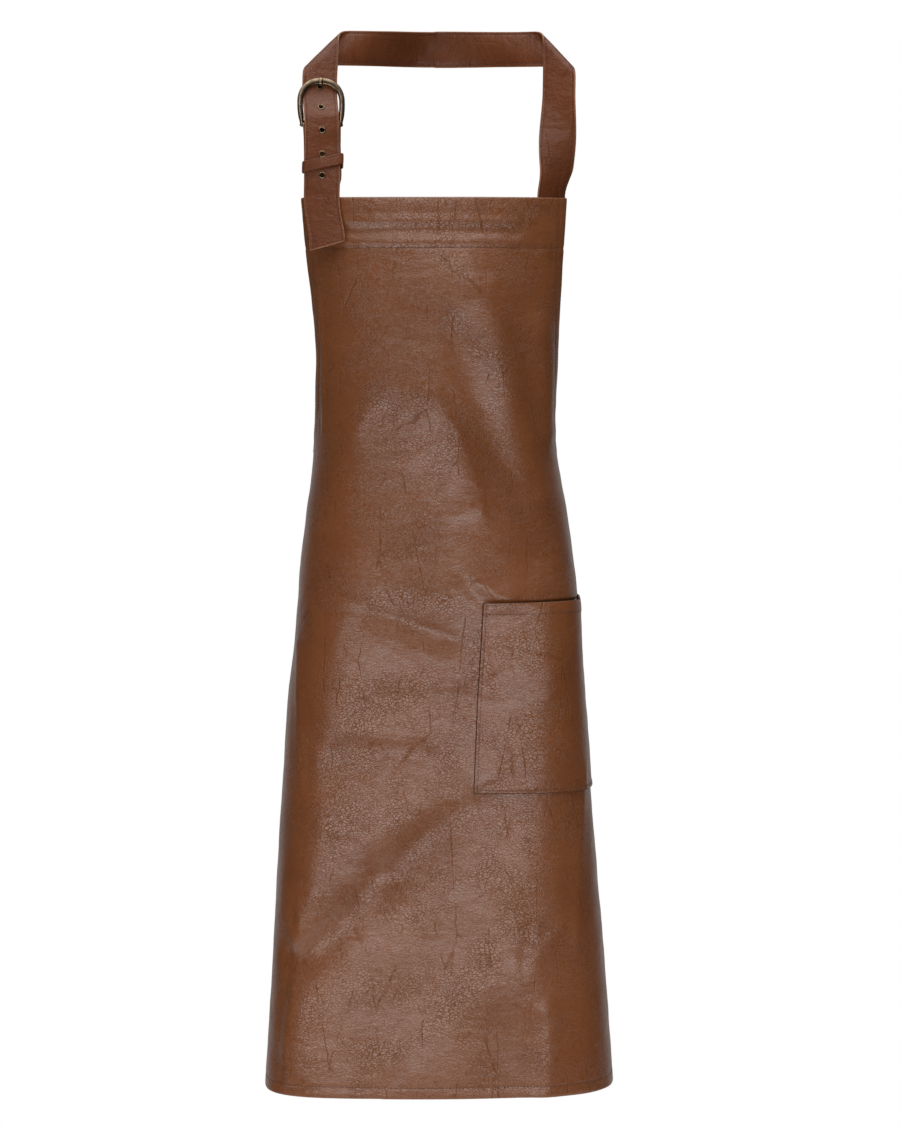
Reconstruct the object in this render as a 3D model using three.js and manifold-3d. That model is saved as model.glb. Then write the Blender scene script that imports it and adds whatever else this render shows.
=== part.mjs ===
// Full-length bib apron of brown coated leather cloth, in the form it has when worn.
// One panel runs from the bib down to the hem and wraps the body, open at the back.
// A neck strap with a brass buckle carries it, and two waist ties close it behind.
// Millimetres, +Z up, the front faces -Y and +X is on the viewer's right.
// The origin is on the nape of the neck, on the inner face of the neck strap.
import * as THREE from "three";
import { mergeVertices } from "three/addons/utils/BufferGeometryUtils.js";
import Module from "manifold-3d";

const wasm = await Module();
wasm.setup();

// Cloth and panel
const cloth = 1.4; // one layer of coated cloth
const bibDrop = 158; // nape down to the bib's top edge
const apronLength = 906; // bib's top edge down to the hem
const bibHalf = 145; // half the bib's width along the cloth, at its top edge
const skirtHalf = 320; // half the skirt's width along the cloth
const hemHalf = 180.5; // half the width seen from the front at the hem
const frontReach = 208; // nape forward to the cloth at the hem
const backReach = 30; // nape back to the rounding at the hips
const sideHem = 10; // turned hems at the sides and the bottom
const bibHem = 50; // deep turned hem at the bib's top edge
const grainLean = 0.042; // slant of the cloth's lengthwise lines below the pocket's mouth
const foldRise = 10; // the tallest fold of the panel
const foldSpread = 60; // the widest fold of the panel

// Pocket
const pocketDrop = 407; // bib's top edge down to the pocket's mouth
const pocketDepth = 191;
const pocketWidth = 200;
const pocketStart = 46.5; // middle line out to the pocket's inner edge
const pocketHem = 11; // turned hem at the mouth
const pocketBulge = 11; // how far the pocket's front stands out
const pocketSwellWidth = 104; // part of its width that stands out, from the inner edge
const pocketSeam = 9; // sewn margin that lies flat on the panel

// Neck strap
const strapWidth = 36;
const strapThick = 2.2; // two layers sewn together
const strapTuck = 42; // length sewn in behind the bib's hem
const foldRadius = 6; // roll of the strap at each upper corner
const tipLength = 50; // free tip below the bib's top edge
const tipSlant = 0.28; // slope of the cut across the tip
const napeArc = 72; // how far the strap's run behind the neck bows back

// Buckle and eyelets
const wireRadius = 2; // bar that carries the buckle on its short strap
const frameInner = 19.1; // half the frame's clear width
const frameSide = 4.7; // thickness of the frame's sides, seen from the front
const frameTop = 6.2; // thickness of the frame's top
const frameFoot = 3.2; // thickness of the frame at its feet
const frameDeep = 3.4; // thickness of the frame from front to back
const frameHeight = 50.5; // top of the frame to the end of its feet
const prongRadius = 1;
const eyeletPitch = 24;
const eyeletCount = 5;
const eyeletHole = 2.2;
const eyeletRim = 3.7;
const eyeletBarrel = 2.8;
const eyeletLip = 0.6;
const lipGap = 0.45; // between an eyelet's lips and the bent strap

// Keeper loop
const keeperWidth = 10;
const keeperThick = 1.6;
const keeperSlant = 0.14;

// Waist ties
const tieWidth = 25;
const tieThick = 2;
const tieTail = 170; // free end that hangs below the knot
const tieOverlap = 34; // length sewn on the panel's corner
const knotWidth = 20;
const knotThick = 2.4;

const seamGap = 0.3; // between pieces that lie on each other
const looseGap = 0.7; // the same, where curved pieces have different facets

const leather = new THREE.MeshStandardMaterial({ color: 0x6e4227, roughness: 0.42, metalness: 0 });
const brass = new THREE.MeshStandardMaterial({ color: 0x6b5b3d, roughness: 0.35, metalness: 0.9 });

// Rows of a table, with a name for each column
const withColumns = (names, rows) =>
  rows.map((row) => Object.fromEntries(names.map((name, i) => [name, row[i]])));

// Cross sections of the worn panel.
// down: share of apronLength. edge: 0 where the cloth is as wide as the bib, 1 as wide as the skirt.
// half, middle: half width of the rounding and the place of its middle, shares of hemHalf.
// front, side: how far forward its front and its widest point lie, shares of frontReach.
// back: how far behind the nape its back lies, a share of backReach.
// left, right: how square its front corners are, where 2 is an ellipse.
const sections = withColumns(["down", "edge", "half", "middle", "front", "side", "back", "left", "right"], [
  [0.0, 0.0, 0.839, -0.012, 0.72, 0.3, -1.2, 2.5, 2.4],
  [0.055, 0.0, 0.795, -0.01, 0.77, 0.33, -1.1, 2.4, 2.4],
  [0.113, 0.0, 0.751, -0.001, 0.83, 0.37, -1.0, 2.35, 2.35],
  [0.17, 0.01, 0.718, 0.003, 0.865, 0.385, -0.9, 2.3, 2.3],
  [0.226, 0.04, 0.703, -0.005, 0.875, 0.39, -0.6, 2.3, 2.3],
  [0.25, 0.085, 0.692, -0.007, 0.875, 0.39, -0.4, 2.35, 2.35],
  [0.272, 0.22, 0.689, -0.007, 0.875, 0.39, -0.2, 2.4, 2.4],
  [0.318, 0.84, 0.714, -0.001, 0.88, 0.39, 0.0, 2.5, 2.5],
  [0.345, 1.0, 0.737, 0.002, 0.89, 0.395, 0.1, 2.6, 2.6],
  [0.408, 1.0, 0.779, 0.004, 0.925, 0.4, 0.5, 2.8, 3.2],
  [0.455, 1.0, 0.799, 0.008, 0.95, 0.4, 0.9, 3.1, 3.9],
  [0.5, 1.0, 0.814, 0.005, 0.956, 0.4, 1.0, 3.3, 4.2],
  [0.568, 1.0, 0.846, -0.001, 0.957, 0.39, 1.0, 3.5, 4.3],
  [0.66, 1.0, 0.877, -0.001, 0.958, 0.38, 0.9, 3.8, 4.1],
  [0.753, 1.0, 0.911, 0.003, 0.965, 0.37, 0.8, 4.0, 3.8],
  [0.844, 1.0, 0.943, 0.013, 0.975, 0.365, 0.7, 4.2, 3.6],
  [0.937, 1.0, 0.975, 0.017, 0.988, 0.36, 0.6, 4.3, 3.4],
  [1.0, 1.0, 0.998, 0.017, 1.0, 0.36, 0.6, 4.4, 3.15],
]);

// Folds of the panel, each along a straight line on the flat cloth.
// x1, x2: ends of the line, shares of skirtHalf. d1, d2: the same, shares of apronLength.
// rise: height, a share of foldRise, below 0 for a dent. spread: a share of foldSpread.
const folds = withColumns(["x1", "d1", "x2", "d2", "rise", "spread"], [
  [-0.235, 0.15, -0.2, 0.24, -0.32, 0.75], // hollow beside the left bib edge
  [0.12, 0.08, 0.17, 0.24, 0.35, 0.55], // upright ridge on the bib
  [0.07, 0.15, 0.19, 0.3, -0.35, 0.45], // slanting valley under it
  [-0.02, 0.22, 0.13, 0.38, 0.32, 0.5], // ridge towards the waist
  [-0.22, 0.22, -0.3, 0.29, 0.3, 0.5], // pull towards the left tie
  [0.36, 0.15, 0.41, 0.26, 0.5, 0.3], // pull towards the right tie
  [-0.17, 0.46, 0.02, 0.485, -0.35, 0.3], // short crease on the lap
  [0.1, 0.425, 0.2, 0.44, 0.35, 0.35], // roll above the pocket's corner
  [-0.3, 0.63, -0.05, 0.62, -0.25, 0.4],
  [0.07, 0.665, -0.18, 0.75, -0.7, 0.42], // long valley from the pocket's corner
  [-0.18, 0.75, -0.45, 0.845, -0.85, 0.42],
  [-0.36, 0.7, -0.44, 0.775, 0.4, 0.6],
  [-0.12, 0.8, 0.2, 0.76, 0.3, 0.9],
  [0.17, 0.93, 0.24, 1.0, -0.3, 0.55],
  [0.345, 0.91, 0.335, 1.02, 0.3, 0.25], // crease at the hem
]);

const smooth = (share) => {
  const held = Math.min(1, Math.max(0, share));
  return held * held * (3 - 2 * held);
};
const mix = (from, to, share) => from + (to - from) * share;

// A column of a table at a place in its first column, on a smooth curve that never overshoots.
function read(table, place, column, at) {
  const last = table.length - 1;
  if (at <= table[0][place]) return table[0][column];
  if (at >= table[last][place]) return table[last][column];
  let i = 0;
  while (table[i + 1][place] < at) i++;
  const slope = (k) => (table[k + 1][column] - table[k][column]) / (table[k + 1][place] - table[k][place]);
  const tangent = (k) => {
    if (k === 0) return slope(0);
    if (k === last) return slope(last - 1);
    const before = slope(k - 1);
    const after = slope(k);
    return before * after <= 0 ? 0 : (2 * before * after) / (before + after);
  };
  const span = table[i + 1][place] - table[i][place];
  const u = (at - table[i][place]) / span;
  const bend = (u ** 3 - 2 * u ** 2 + u) * tangent(i) + (u ** 3 - u ** 2) * tangent(i + 1);
  return mix(table[i][column], table[i + 1][column], smooth(u)) + bend * span;
}

// Section curves, walked from the middle of the front round one side to the middle of the back
const curveSteps = 160;
const sectionCache = new Map();
function sectionAt(down) {
  const key = down.toFixed(6);
  if (sectionCache.has(key)) return sectionCache.get(key);
  const at = (column) => read(sections, "down", column, down);
  const half = at("half") * hemHalf;
  const middle = at("middle") * hemHalf;
  const sideY = -at("side") * frontReach;
  const frontDepth = at("front") * frontReach + sideY;
  const backDepth = at("back") * backReach - sideY;
  const walk = (side, corner) => {
    const points = [];
    let run = 0;
    for (let i = 0; i <= 2 * curveSteps; i++) {
      const angle = (Math.PI / 2) * (i / curveSteps);
      const power = 2 / (i <= curveSteps ? corner : 2.2);
      const depth = i <= curveSteps ? -frontDepth : backDepth;
      const x = middle + side * half * Math.abs(Math.sin(angle)) ** power;
      const y = sideY + depth * Math.abs(Math.cos(angle)) ** power;
      if (i > 0) run += Math.hypot(x - points[i - 1].x, y - points[i - 1].y);
      points.push({ x, y, run });
    }
    return points;
  };
  const made = { left: walk(-1, at("left")), right: walk(1, at("right")) };
  sectionCache.set(key, made);
  return made;
}

// The point of a section curve that lies a length along the cloth from the middle line
function alongSection(down, across) {
  const made = sectionAt(down);
  const points = across < 0 ? made.left : made.right;
  const run = Math.min(Math.abs(across), points[points.length - 1].run);
  let low = 0;
  let high = points.length - 1;
  while (high - low > 1) {
    const mid = (low + high) >> 1;
    if (points[mid].run > run) high = mid;
    else low = mid;
  }
  const share = (run - points[low].run) / (points[high].run - points[low].run || 1);
  return [mix(points[low].x, points[high].x, share), mix(points[low].y, points[high].y, share)];
}

const edgeAt = (down) => mix(bibHalf, skirtHalf, read(sections, "down", "edge", down));

// Height of the folds at a place on the flat cloth
function foldAt(across, drop) {
  let height = 0;
  for (const fold of folds) {
    const x1 = fold.x1 * skirtHalf;
    const d1 = fold.d1 * apronLength;
    const dx = fold.x2 * skirtHalf - x1;
    const dd = fold.d2 * apronLength - d1;
    const share = ((across - x1) * dx + (drop - d1) * dd) / (dx * dx + dd * dd);
    const held = Math.min(1, Math.max(0, share));
    const off = Math.hypot(across - x1 - held * dx, drop - d1 - held * dd);
    height += fold.rise * foldRise * Math.exp(-((off / (fold.spread * foldSpread)) ** 2));
  }
  return height;
}

function bareApron(across, drop) {
  const down = Math.min(1, Math.max(0, drop / apronLength));
  const [x, y] = alongSection(down, across);
  return new THREE.Vector3(x, y, -bibDrop - drop);
}

// Outward normal of a surface point(u, v), by small steps
function normalOf(point, u, v, step = 0.5) {
  const alongU = point(u + step, v).sub(point(u - step, v));
  const alongV = point(u, v + step).sub(point(u, v - step));
  return alongV.cross(alongU).normalize();
}

// The panel's outer face, with its folds, lifted by a height above the cloth
function apronFace(across, drop, lift = 0) {
  const normal = normalOf(bareApron, across, drop, 1.5);
  return bareApron(across, drop).addScaledVector(normal, foldAt(across, drop) + lift);
}

// Columns run from -2 to 2: 1 is the inner line of a side hem and 2 is the cloth's edge
function acrossAt(column, drop) {
  const down = drop / apronLength;
  const rate = (edgeAt(down + 0.004) - edgeAt(down - 0.004)) / (0.008 * apronLength);
  const hem = Math.min(sideHem * Math.hypot(1, rate), 3 * sideHem);
  const inner = edgeAt(down) - hem;
  const size = Math.abs(column);
  const lean = grainLean * Math.max(0, drop - pocketDrop) * Math.max(0, 1 - size * size);
  return Math.sign(column) * (size <= 1 ? size * inner : inner + (size - 1) * hem) - lean;
}

// Places between stops, so that no step is longer than the one asked for
function divide(stops, longest) {
  const places = [stops[0]];
  for (let i = 1; i < stops.length; i++) {
    const steps = Math.max(1, Math.round((stops[i] - stops[i - 1]) / longest));
    for (let k = 1; k <= steps; k++) places.push(mix(stops[i - 1], stops[i], k / steps));
  }
  return places;
}

// A closed wall between two faces given as grids of points, rows by columns
function wall(front, back, loop = false) {
  const rows = front.length;
  const columns = front[0].length;
  const positions = [];
  for (const p of [...front.flat(), ...back.flat()]) positions.push(p.x, p.y, p.z);
  const index = [];
  const at = (face, i, j) => face * rows * columns + (i % rows) * columns + j;
  const corner = (k) => new THREE.Vector3().fromArray(positions, 3 * k);
  // each quad is split along its shorter diagonal
  const quad = (a, b, c, d) => {
    const acShorter = corner(a).distanceTo(corner(c)) < corner(b).distanceTo(corner(d)) + 0.01;
    if (acShorter) index.push(a, b, c, a, c, d);
    else index.push(b, c, d, b, d, a);
  };
  const last = loop ? rows : rows - 1;
  for (let i = 0; i < last; i++) {
    for (let j = 0; j < columns - 1; j++) {
      quad(at(0, i, j), at(0, i + 1, j), at(0, i + 1, j + 1), at(0, i, j + 1));
      quad(at(1, i, j), at(1, i, j + 1), at(1, i + 1, j + 1), at(1, i + 1, j));
    }
    quad(at(0, i, 0), at(1, i, 0), at(1, i + 1, 0), at(0, i + 1, 0));
    quad(at(0, i, columns - 1), at(0, i + 1, columns - 1), at(1, i + 1, columns - 1), at(1, i, columns - 1));
  }
  if (!loop) {
    for (let j = 0; j < columns - 1; j++) {
      quad(at(0, 0, j), at(0, 0, j + 1), at(1, 0, j + 1), at(1, 0, j));
      quad(at(0, last, j), at(1, last, j), at(1, last, j + 1), at(0, last, j + 1));
    }
  }
  const geometry = new THREE.BufferGeometry();
  geometry.setAttribute("position", new THREE.Float32BufferAttribute(positions, 3));
  geometry.setIndex(index);
  return geometry;
}

// A strap: point(a, b) is its middle surface, a across it and b along it
function ribbon(point, acrosses, alongs, thick) {
  const faces = [1, -1].map((side) =>
    alongs.map((b) =>
      acrosses.map((a) => point(a, b).addScaledVector(normalOf(point, a, b, 0.2), (side * thick) / 2)),
    ),
  );
  return wall(faces[0], faces[1]);
}

// Solids for cutting and joining
function toSolid(geometry) {
  const bare = geometry.clone();
  bare.deleteAttribute("normal");
  bare.deleteAttribute("uv");
  const merged = mergeVertices(bare, 1e-4);
  return new wasm.Manifold(
    new wasm.Mesh({
      numProp: 3,
      vertProperties: new Float32Array(merged.attributes.position.array),
      triVerts: new Uint32Array(merged.index.array),
    }),
  );
}
function toGeometry(solid) {
  const mesh = solid.getMesh();
  const geometry = new THREE.BufferGeometry();
  geometry.setAttribute("position", new THREE.Float32BufferAttribute(mesh.vertProperties, 3));
  geometry.setIndex(Array.from(mesh.triVerts));
  return geometry;
}

const apron = new THREE.Group();
function add(name, geometry, material) {
  const mesh = new THREE.Mesh(outward(geometry), material);
  mesh.name = name;
  apron.add(mesh);
}
// The same geometry with its faces turned to the outside
function outward(geometry) {
  if (toSolid(geometry).volume() > 0) return geometry;
  const index = Array.from(geometry.index.array);
  for (let i = 0; i < index.length; i += 3) [index[i + 1], index[i + 2]] = [index[i + 2], index[i + 1]];
  geometry.setIndex(index);
  return geometry;
}

// Panel: one layer of cloth, two where its hems are turned in
const hemStep = 0.12; // share of a side hem's width over which the second layer starts
const stepDrop = 1.5;
const pocketColumns = [pocketStart, pocketStart + pocketWidth].map((x) => x / (skirtHalf - sideHem));
const pocketInner = pocketColumns[0] + pocketSeam / (skirtHalf - sideHem);
const panelColumns = [
  ...[-2, -1 - hemStep],
  ...divide([-1, pocketColumns[0], pocketInner, pocketColumns[1], 1], 0.078),
  ...[1 + hemStep, 2],
];
const waistTop = 0.24 * apronLength;
const waistEnd = 0.35 * apronLength;
const bottomHem = apronLength - sideHem;
const panelRows = [
  ...divide([0, bibHem, bibHem + stepDrop, waistTop], 32),
  ...divide([waistTop, waistEnd], 13).slice(1),
  ...divide([waistEnd, pocketDrop, pocketDrop + pocketHem, pocketDrop + pocketDepth], 28).slice(1),
  ...divide([pocketDrop + pocketDepth, bottomHem - stepDrop, bottomHem, apronLength], 30).slice(1),
];
const layersAt = (column, drop) =>
  Math.abs(column) > 1 || drop <= bibHem || drop >= bottomHem ? 2 : 1;
const panelFace = (lift) =>
  panelRows.map((drop) =>
    panelColumns.map((column) => apronFace(acrossAt(column, drop), drop, lift(column, drop))),
  );
const panelOuter = panelFace(() => 0);
const panelInner = panelFace((column, drop) => -cloth * layersAt(column, drop));
add("apron_panel", wall(panelOuter, panelInner), leather);

// Pocket: sewn down along three sides, its mouth standing open
const inPocket = (column) => column >= pocketColumns[0] - 1e-9 && column <= pocketColumns[1] + 1e-9;
const pocketAcross = panelColumns.filter(inPocket);
const inDepth = (drop) => drop >= pocketDrop - 1e-6 && drop <= pocketDrop + pocketDepth + 1e-6;
const pocketRows = panelRows.filter(inDepth);
// The pocket's inner face stands this far off the panel
function pocketLift(column, drop) {
  const inward = (column - pocketColumns[0]) * (skirtHalf - sideHem);
  const side = Math.min(inward - pocketSeam, (pocketSwellWidth - inward) / 1.5);
  const end = pocketDrop + pocketDepth - drop - pocketSeam;
  const swell = smooth(side / (0.2 * pocketSwellWidth)) * smooth(end / (0.4 * pocketDepth));
  return seamGap + pocketBulge * swell;
}
const pocketFace = (outer) =>
  pocketRows.map((drop) =>
    pocketAcross.map((column) => {
      const layers = drop < pocketDrop + pocketHem ? 2 : 1;
      const lift = pocketLift(column, drop) + (outer ? cloth * layers : 0);
      return apronFace(acrossAt(column, drop), drop, lift);
    }),
  );
add("pocket", wall(pocketFace(true), pocketFace(false)), leather);

// Legs of the neck strap. a runs outward from a leg's middle and rise upward from the bib's top edge.
// tip, low, high: how far out the middle lies at the tip, the bib and the fold, shares of hemHalf.
// reach: depth at the bib, a share of frontReach. turnLow, turnHigh: how far the outer edge turns
// back, in degrees, at the bib and at turnTo, a share of bibDrop above it. inset: bib's corner to
// the strap's edge. blend: height over which a leg leaves the bib's curve, a share of bibDrop.
const legs = {
  right: { side: 1, tip: 0.643, low: 0.676, high: 0.698, reach: 0.582, turnLow: 38, turnHigh: -30 },
  left: { side: -1, tip: 0.597, low: 0.636, high: 0.654, reach: 0.627, turnLow: 10, turnHigh: -12 },
};
Object.assign(legs.right, { turnTo: 0.7, blend: 0.19, inset: -1.5 });
Object.assign(legs.left, { turnTo: 0.38, blend: 0.127, inset: 6 });
const runHeight = -2; // middle of the strap at its upper corners, above the nape
const foldHeight = bibDrop + runHeight - (Math.PI * foldRadius) / Math.SQRT2;
const leanLow = 0.21; // slope of a leg at the bib
const leanMore = 0.13; // how much steeper it grows up to the fold

const turnAt = (leg, rise) =>
  THREE.MathUtils.degToRad(
    mix(leg.turnLow, leg.turnHigh, smooth(rise / (leg.turnTo * bibDrop))),
  );

// A leg's flat middle surface
function legPlane(leg, a, rise) {
  const share = rise / foldHeight;
  const lean = rise < 0 ? leanLow * rise : foldHeight * (leanLow * share + leanMore * share * share);
  const out = mix(leg.low, rise < 0 ? leg.tip : leg.high, smooth(rise < 0 ? -rise / tipLength : share));
  const turn = turnAt(leg, rise);
  return new THREE.Vector3(
    leg.side * (out * hemHalf + a * Math.cos(turn)),
    -leg.reach * frontReach + lean + a * Math.sin(turn),
    rise - bibDrop,
  );
}
// Where a strap sewn in behind the bib lies
function behindBib(leg, a, rise) {
  const across = bibHalf - leg.inset - strapWidth / 2 + a;
  const drop = Math.max(0, -rise);
  const inside = -(2 * cloth + looseGap + strapThick / 2);
  const place = apronFace(leg.side * across, drop, inside);
  place.z = rise - bibDrop;
  return place;
}
const sewnLeg = (leg, a, rise) =>
  behindBib(leg, a, rise).lerp(legPlane(leg, a, rise), smooth((rise - 2) / (leg.blend * bibDrop)));

// Left leg in its own axes: a outward, rise upward, d forward of the short strap's middle
function onLeg(a, rise, d) {
  const surface = (u, v) => legPlane(legs.left, u, v);
  const normal = normalOf(surface, a, rise).negate();
  if (normal.y > 0) normal.negate();
  return surface(a, rise).addScaledVector(normal, d);
}

// Heights on the left leg, above the bib's top edge
const frameTopRise = bibDrop - 36;
const barRise = frameTopRise - frameHeight * 0.935;
const firstEyelet = frameTopRise - frameTop - 0.9;
const eyeletStep = eyeletPitch * 0.955;
const wrapRadius = wireRadius + seamGap + strapThick / 2; // short strap's middle round the bar
const barDepth = 1.3;
const layerGap = strapThick + seamGap + 0.1;
const lipDepth = eyeletLip + lipGap; // how far an eyelet stands off the strap
const overWrap = barDepth + wrapRadius + strapThick + lipDepth + seamGap;

// How far the long strap stands forward of the short one. below: drop from the frame's top,
// a share of frameHeight. d: a share of overWrap.
const longStrap = withColumns(["below", "d"], [
  [-0.2, 0.0],
  [0.26, 0.02],
  [0.4, 0.18],
  [0.6, 0.6],
  [0.82, 0.96],
  [1.0, 1.0],
  [1.2, 0.92],
  [1.45, 0.8],
  [1.7, 0.76],
  [2.3, 0.74],
  [2.9, 1.0],
  [3.5, 1.5],
]);
const longDepth = (rise) => overWrap * read(longStrap, "below", "d", (frameTopRise - rise) / frameHeight);

// The neck strap's middle surface: up a leg, over the rolled fold, then behind the neck
const turnIn = 75; // length over which the run leaves a leg's plane
function neckStrap(leg, a, rise) {
  const over = (rise - foldHeight + a) / Math.SQRT2;
  const along = (rise - foldHeight - a) / Math.SQRT2;
  const rolled = Math.min(Math.max(over, 0), Math.PI * foldRadius) / foldRadius;
  let level = over;
  if (over > 0) level = foldRadius * Math.sin(rolled) - Math.max(0, over - Math.PI * foldRadius);
  const place = legPlane(leg, (level - along) / Math.SQRT2, foldHeight + (level + along) / Math.SQRT2);
  place.y += foldRadius * (1 - Math.cos(rolled));
  const away = smooth((over - Math.PI * foldRadius) / turnIn);
  const bow = napeArc * (Math.abs(place.x) / (leg.high * hemHalf)) ** 1.9;
  place.y = mix(place.y, strapThick / 2 - bow, away);
  place.z -= away * runHeight;
  return place;
}
const strapHalf = strapWidth / 2;
const strapAcross = divide([-strapHalf, strapHalf], 6);
// Rise, as if the strap ran straight on, at which a leg's run reaches the middle line
const middleRise = (leg) =>
  foldHeight + (leg.high * hemHalf) / Math.cos(turnAt(leg, foldHeight)) + (Math.PI * foldRadius) / Math.SQRT2;
const foldStart = foldHeight - strapHalf - 2;
const foldEnd = foldHeight + strapHalf + Math.SQRT2 * Math.PI * foldRadius + 4;

function longStrapPoint(a, rise) {
  const leg = legs.left;
  const slant = rise < 0 ? -tipSlant * a * smooth(-rise / tipLength) : 0;
  const place = neckStrap(leg, a, rise + slant);
  if (rise >= foldStart) return place;
  return onLeg(a, rise + slant, longDepth(rise + slant));
}
const rightRises = [
  ...divide([-strapTuck, 0, legs.right.blend * bibDrop, foldStart], 13),
  ...divide([foldStart, foldEnd], 4.5).slice(1),
  ...divide([foldEnd, middleRise(legs.right)], 14).slice(1),
];
const leftRises = [
  ...divide([-tipLength, 0, firstEyelet - eyeletStep * (eyeletCount - 1), firstEyelet, foldStart], 9),
  ...divide([foldStart, foldEnd], 4.5).slice(1),
  ...divide([foldEnd, middleRise(legs.left)], 14).slice(1, -1),
];
function rightStrapPoint(a, rise) {
  return rise < foldStart ? sewnLeg(legs.right, a, rise) : neckStrap(legs.right, a, rise);
}
// Faces of the whole strap: up the right leg, across, and down the left one
const strapFace = (side) => {
  const offset = (point, a, rise, sign) =>
    point(a, rise).addScaledVector(normalOf(point, a, rise, 0.2), (sign * side * strapThick) / 2);
  return [
    ...rightRises.map((rise) => strapAcross.map((a) => offset(rightStrapPoint, a, rise, 1))),
    ...leftRises
      .slice()
      .reverse()
      .map((rise) => strapAcross.map((a) => offset(longStrapPoint, a, rise, -1))),
  ];
};
let strapSolid = toSolid(outward(wall(strapFace(1), strapFace(-1))));

// Places a shape made round its own Z axis on the long strap, with Z pointing forward
function placeOnStrap(geometry, rise, a = 0) {
  const centre = longStrapPoint(a, rise);
  const out = normalOf(longStrapPoint, a, rise, 0.5);
  if (out.y > 0) out.negate();
  const up = longStrapPoint(a, rise + 1).sub(longStrapPoint(a, rise - 1)).normalize();
  const right = up.clone().cross(out).normalize();
  const turn = new THREE.Matrix4().makeBasis(right, out.clone().cross(right), out);
  return geometry.applyMatrix4(turn).translate(centre.x, centre.y, centre.z);
}

// Eyelets: a barrel through the strap with a lip on each face
const eyeletSides = 12;
function eyelet() {
  const face = strapThick / 2 + lipGap;
  const profile = [
    [eyeletHole, -face - eyeletLip],
    [eyeletRim - 0.3, -face - eyeletLip],
    [eyeletRim - 0.3, -face],
    [eyeletBarrel, -face],
    [eyeletBarrel, face],
    [eyeletRim, face],
    [eyeletRim - 0.6, face + eyeletLip],
    [eyeletHole + 0.3, face + eyeletLip],
    [eyeletHole, face],
    [eyeletHole, -face - eyeletLip],
  ].map(([r, z]) => new THREE.Vector2(r, z));
  return new THREE.LatheGeometry(profile, eyeletSides).rotateX(Math.PI / 2);
}
for (let i = 0; i < eyeletCount; i++) {
  const rise = firstEyelet - i * eyeletStep;
  const hole = new THREE.CylinderGeometry(eyeletBarrel + seamGap, eyeletBarrel + seamGap, 12, eyeletSides);
  hole.rotateX(Math.PI / 2);
  strapSolid = strapSolid.subtract(toSolid(placeOnStrap(hole, rise)));
  const ring = mergeVertices(bareShape(eyelet()), 1e-4);
  add("eyelet_" + (i + 1), placeOnStrap(ring, rise), brass);
}
function bareShape(geometry) {
  geometry.deleteAttribute("normal");
  geometry.deleteAttribute("uv");
  return geometry;
}
add("neck_strap", toGeometry(strapSolid), leather);

// Short strap: up from behind the bib, round the buckle's bar and down again
const returnRise = 0.21 * bibDrop; // where its turned end stops
const wrapStart = barRise - 3.5 * wrapRadius; // where it begins to part for the bar
const wrapPath = [];
for (const rise of divide([-strapTuck, 0, wrapStart], 12)) wrapPath.push([rise, 0]);
for (let i = 0; i <= 10; i++) {
  const angle = Math.PI * (1.12 - (1.24 * i) / 10);
  wrapPath.push([barRise + wrapRadius * Math.sin(angle), barDepth + wrapRadius * Math.cos(angle)]);
}
for (const rise of divide([wrapStart, returnRise], 12)) wrapPath.push([rise, layerGap]);
function shortStrapPoint(a, step) {
  const held = Math.min(wrapPath.length - 1, Math.max(0, step));
  const i = Math.min(wrapPath.length - 2, Math.floor(held));
  const rise = mix(wrapPath[i][0], wrapPath[i + 1][0], held - i);
  const d = mix(wrapPath[i][1], wrapPath[i + 1][1], held - i);
  return d === 0 ? sewnLeg(legs.left, a, rise) : onLeg(a, rise, d);
}
function pathRibbon(point, acrosses, count) {
  const faces = [[], []];
  for (let i = 0; i < count; i++) {
    const rows = [[], []];
    for (const a of acrosses) {
      const along = point(a, Math.min(i + 1, count - 1)).sub(point(a, Math.max(i - 1, 0)));
      const wide = point(a + 0.5, i).sub(point(a - 0.5, i));
      const normal = along.cross(wide).normalize();
      rows[0].push(point(a, i).addScaledVector(normal, strapThick / 2));
      rows[1].push(point(a, i).addScaledVector(normal, -strapThick / 2));
    }
    faces[0].push(rows[0]);
    faces[1].push(rows[1]);
  }
  return outward(wall(faces[0], faces[1]));
}
const shortStrap = toSolid(pathRibbon(shortStrapPoint, divide([-strapHalf, strapHalf], 9), wrapPath.length));
// Slot in its fold, where the prong's eye sits on the bar
const prongEye = 2.6; // half the width of the prong's eye
const slotHeight = 4 * wrapRadius;
const slot = new THREE.BoxGeometry(2 * (prongEye + looseGap + 0.3), 3.5 * wrapRadius, slotHeight);
const slotPlace = onLeg(0, barRise + slotHeight / 8, barDepth);
slot.translate(slotPlace.x, slotPlace.y, slotPlace.z);
add("buckle_strap", toGeometry(shortStrap.subtract(toSolid(slot))), leather);

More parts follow.
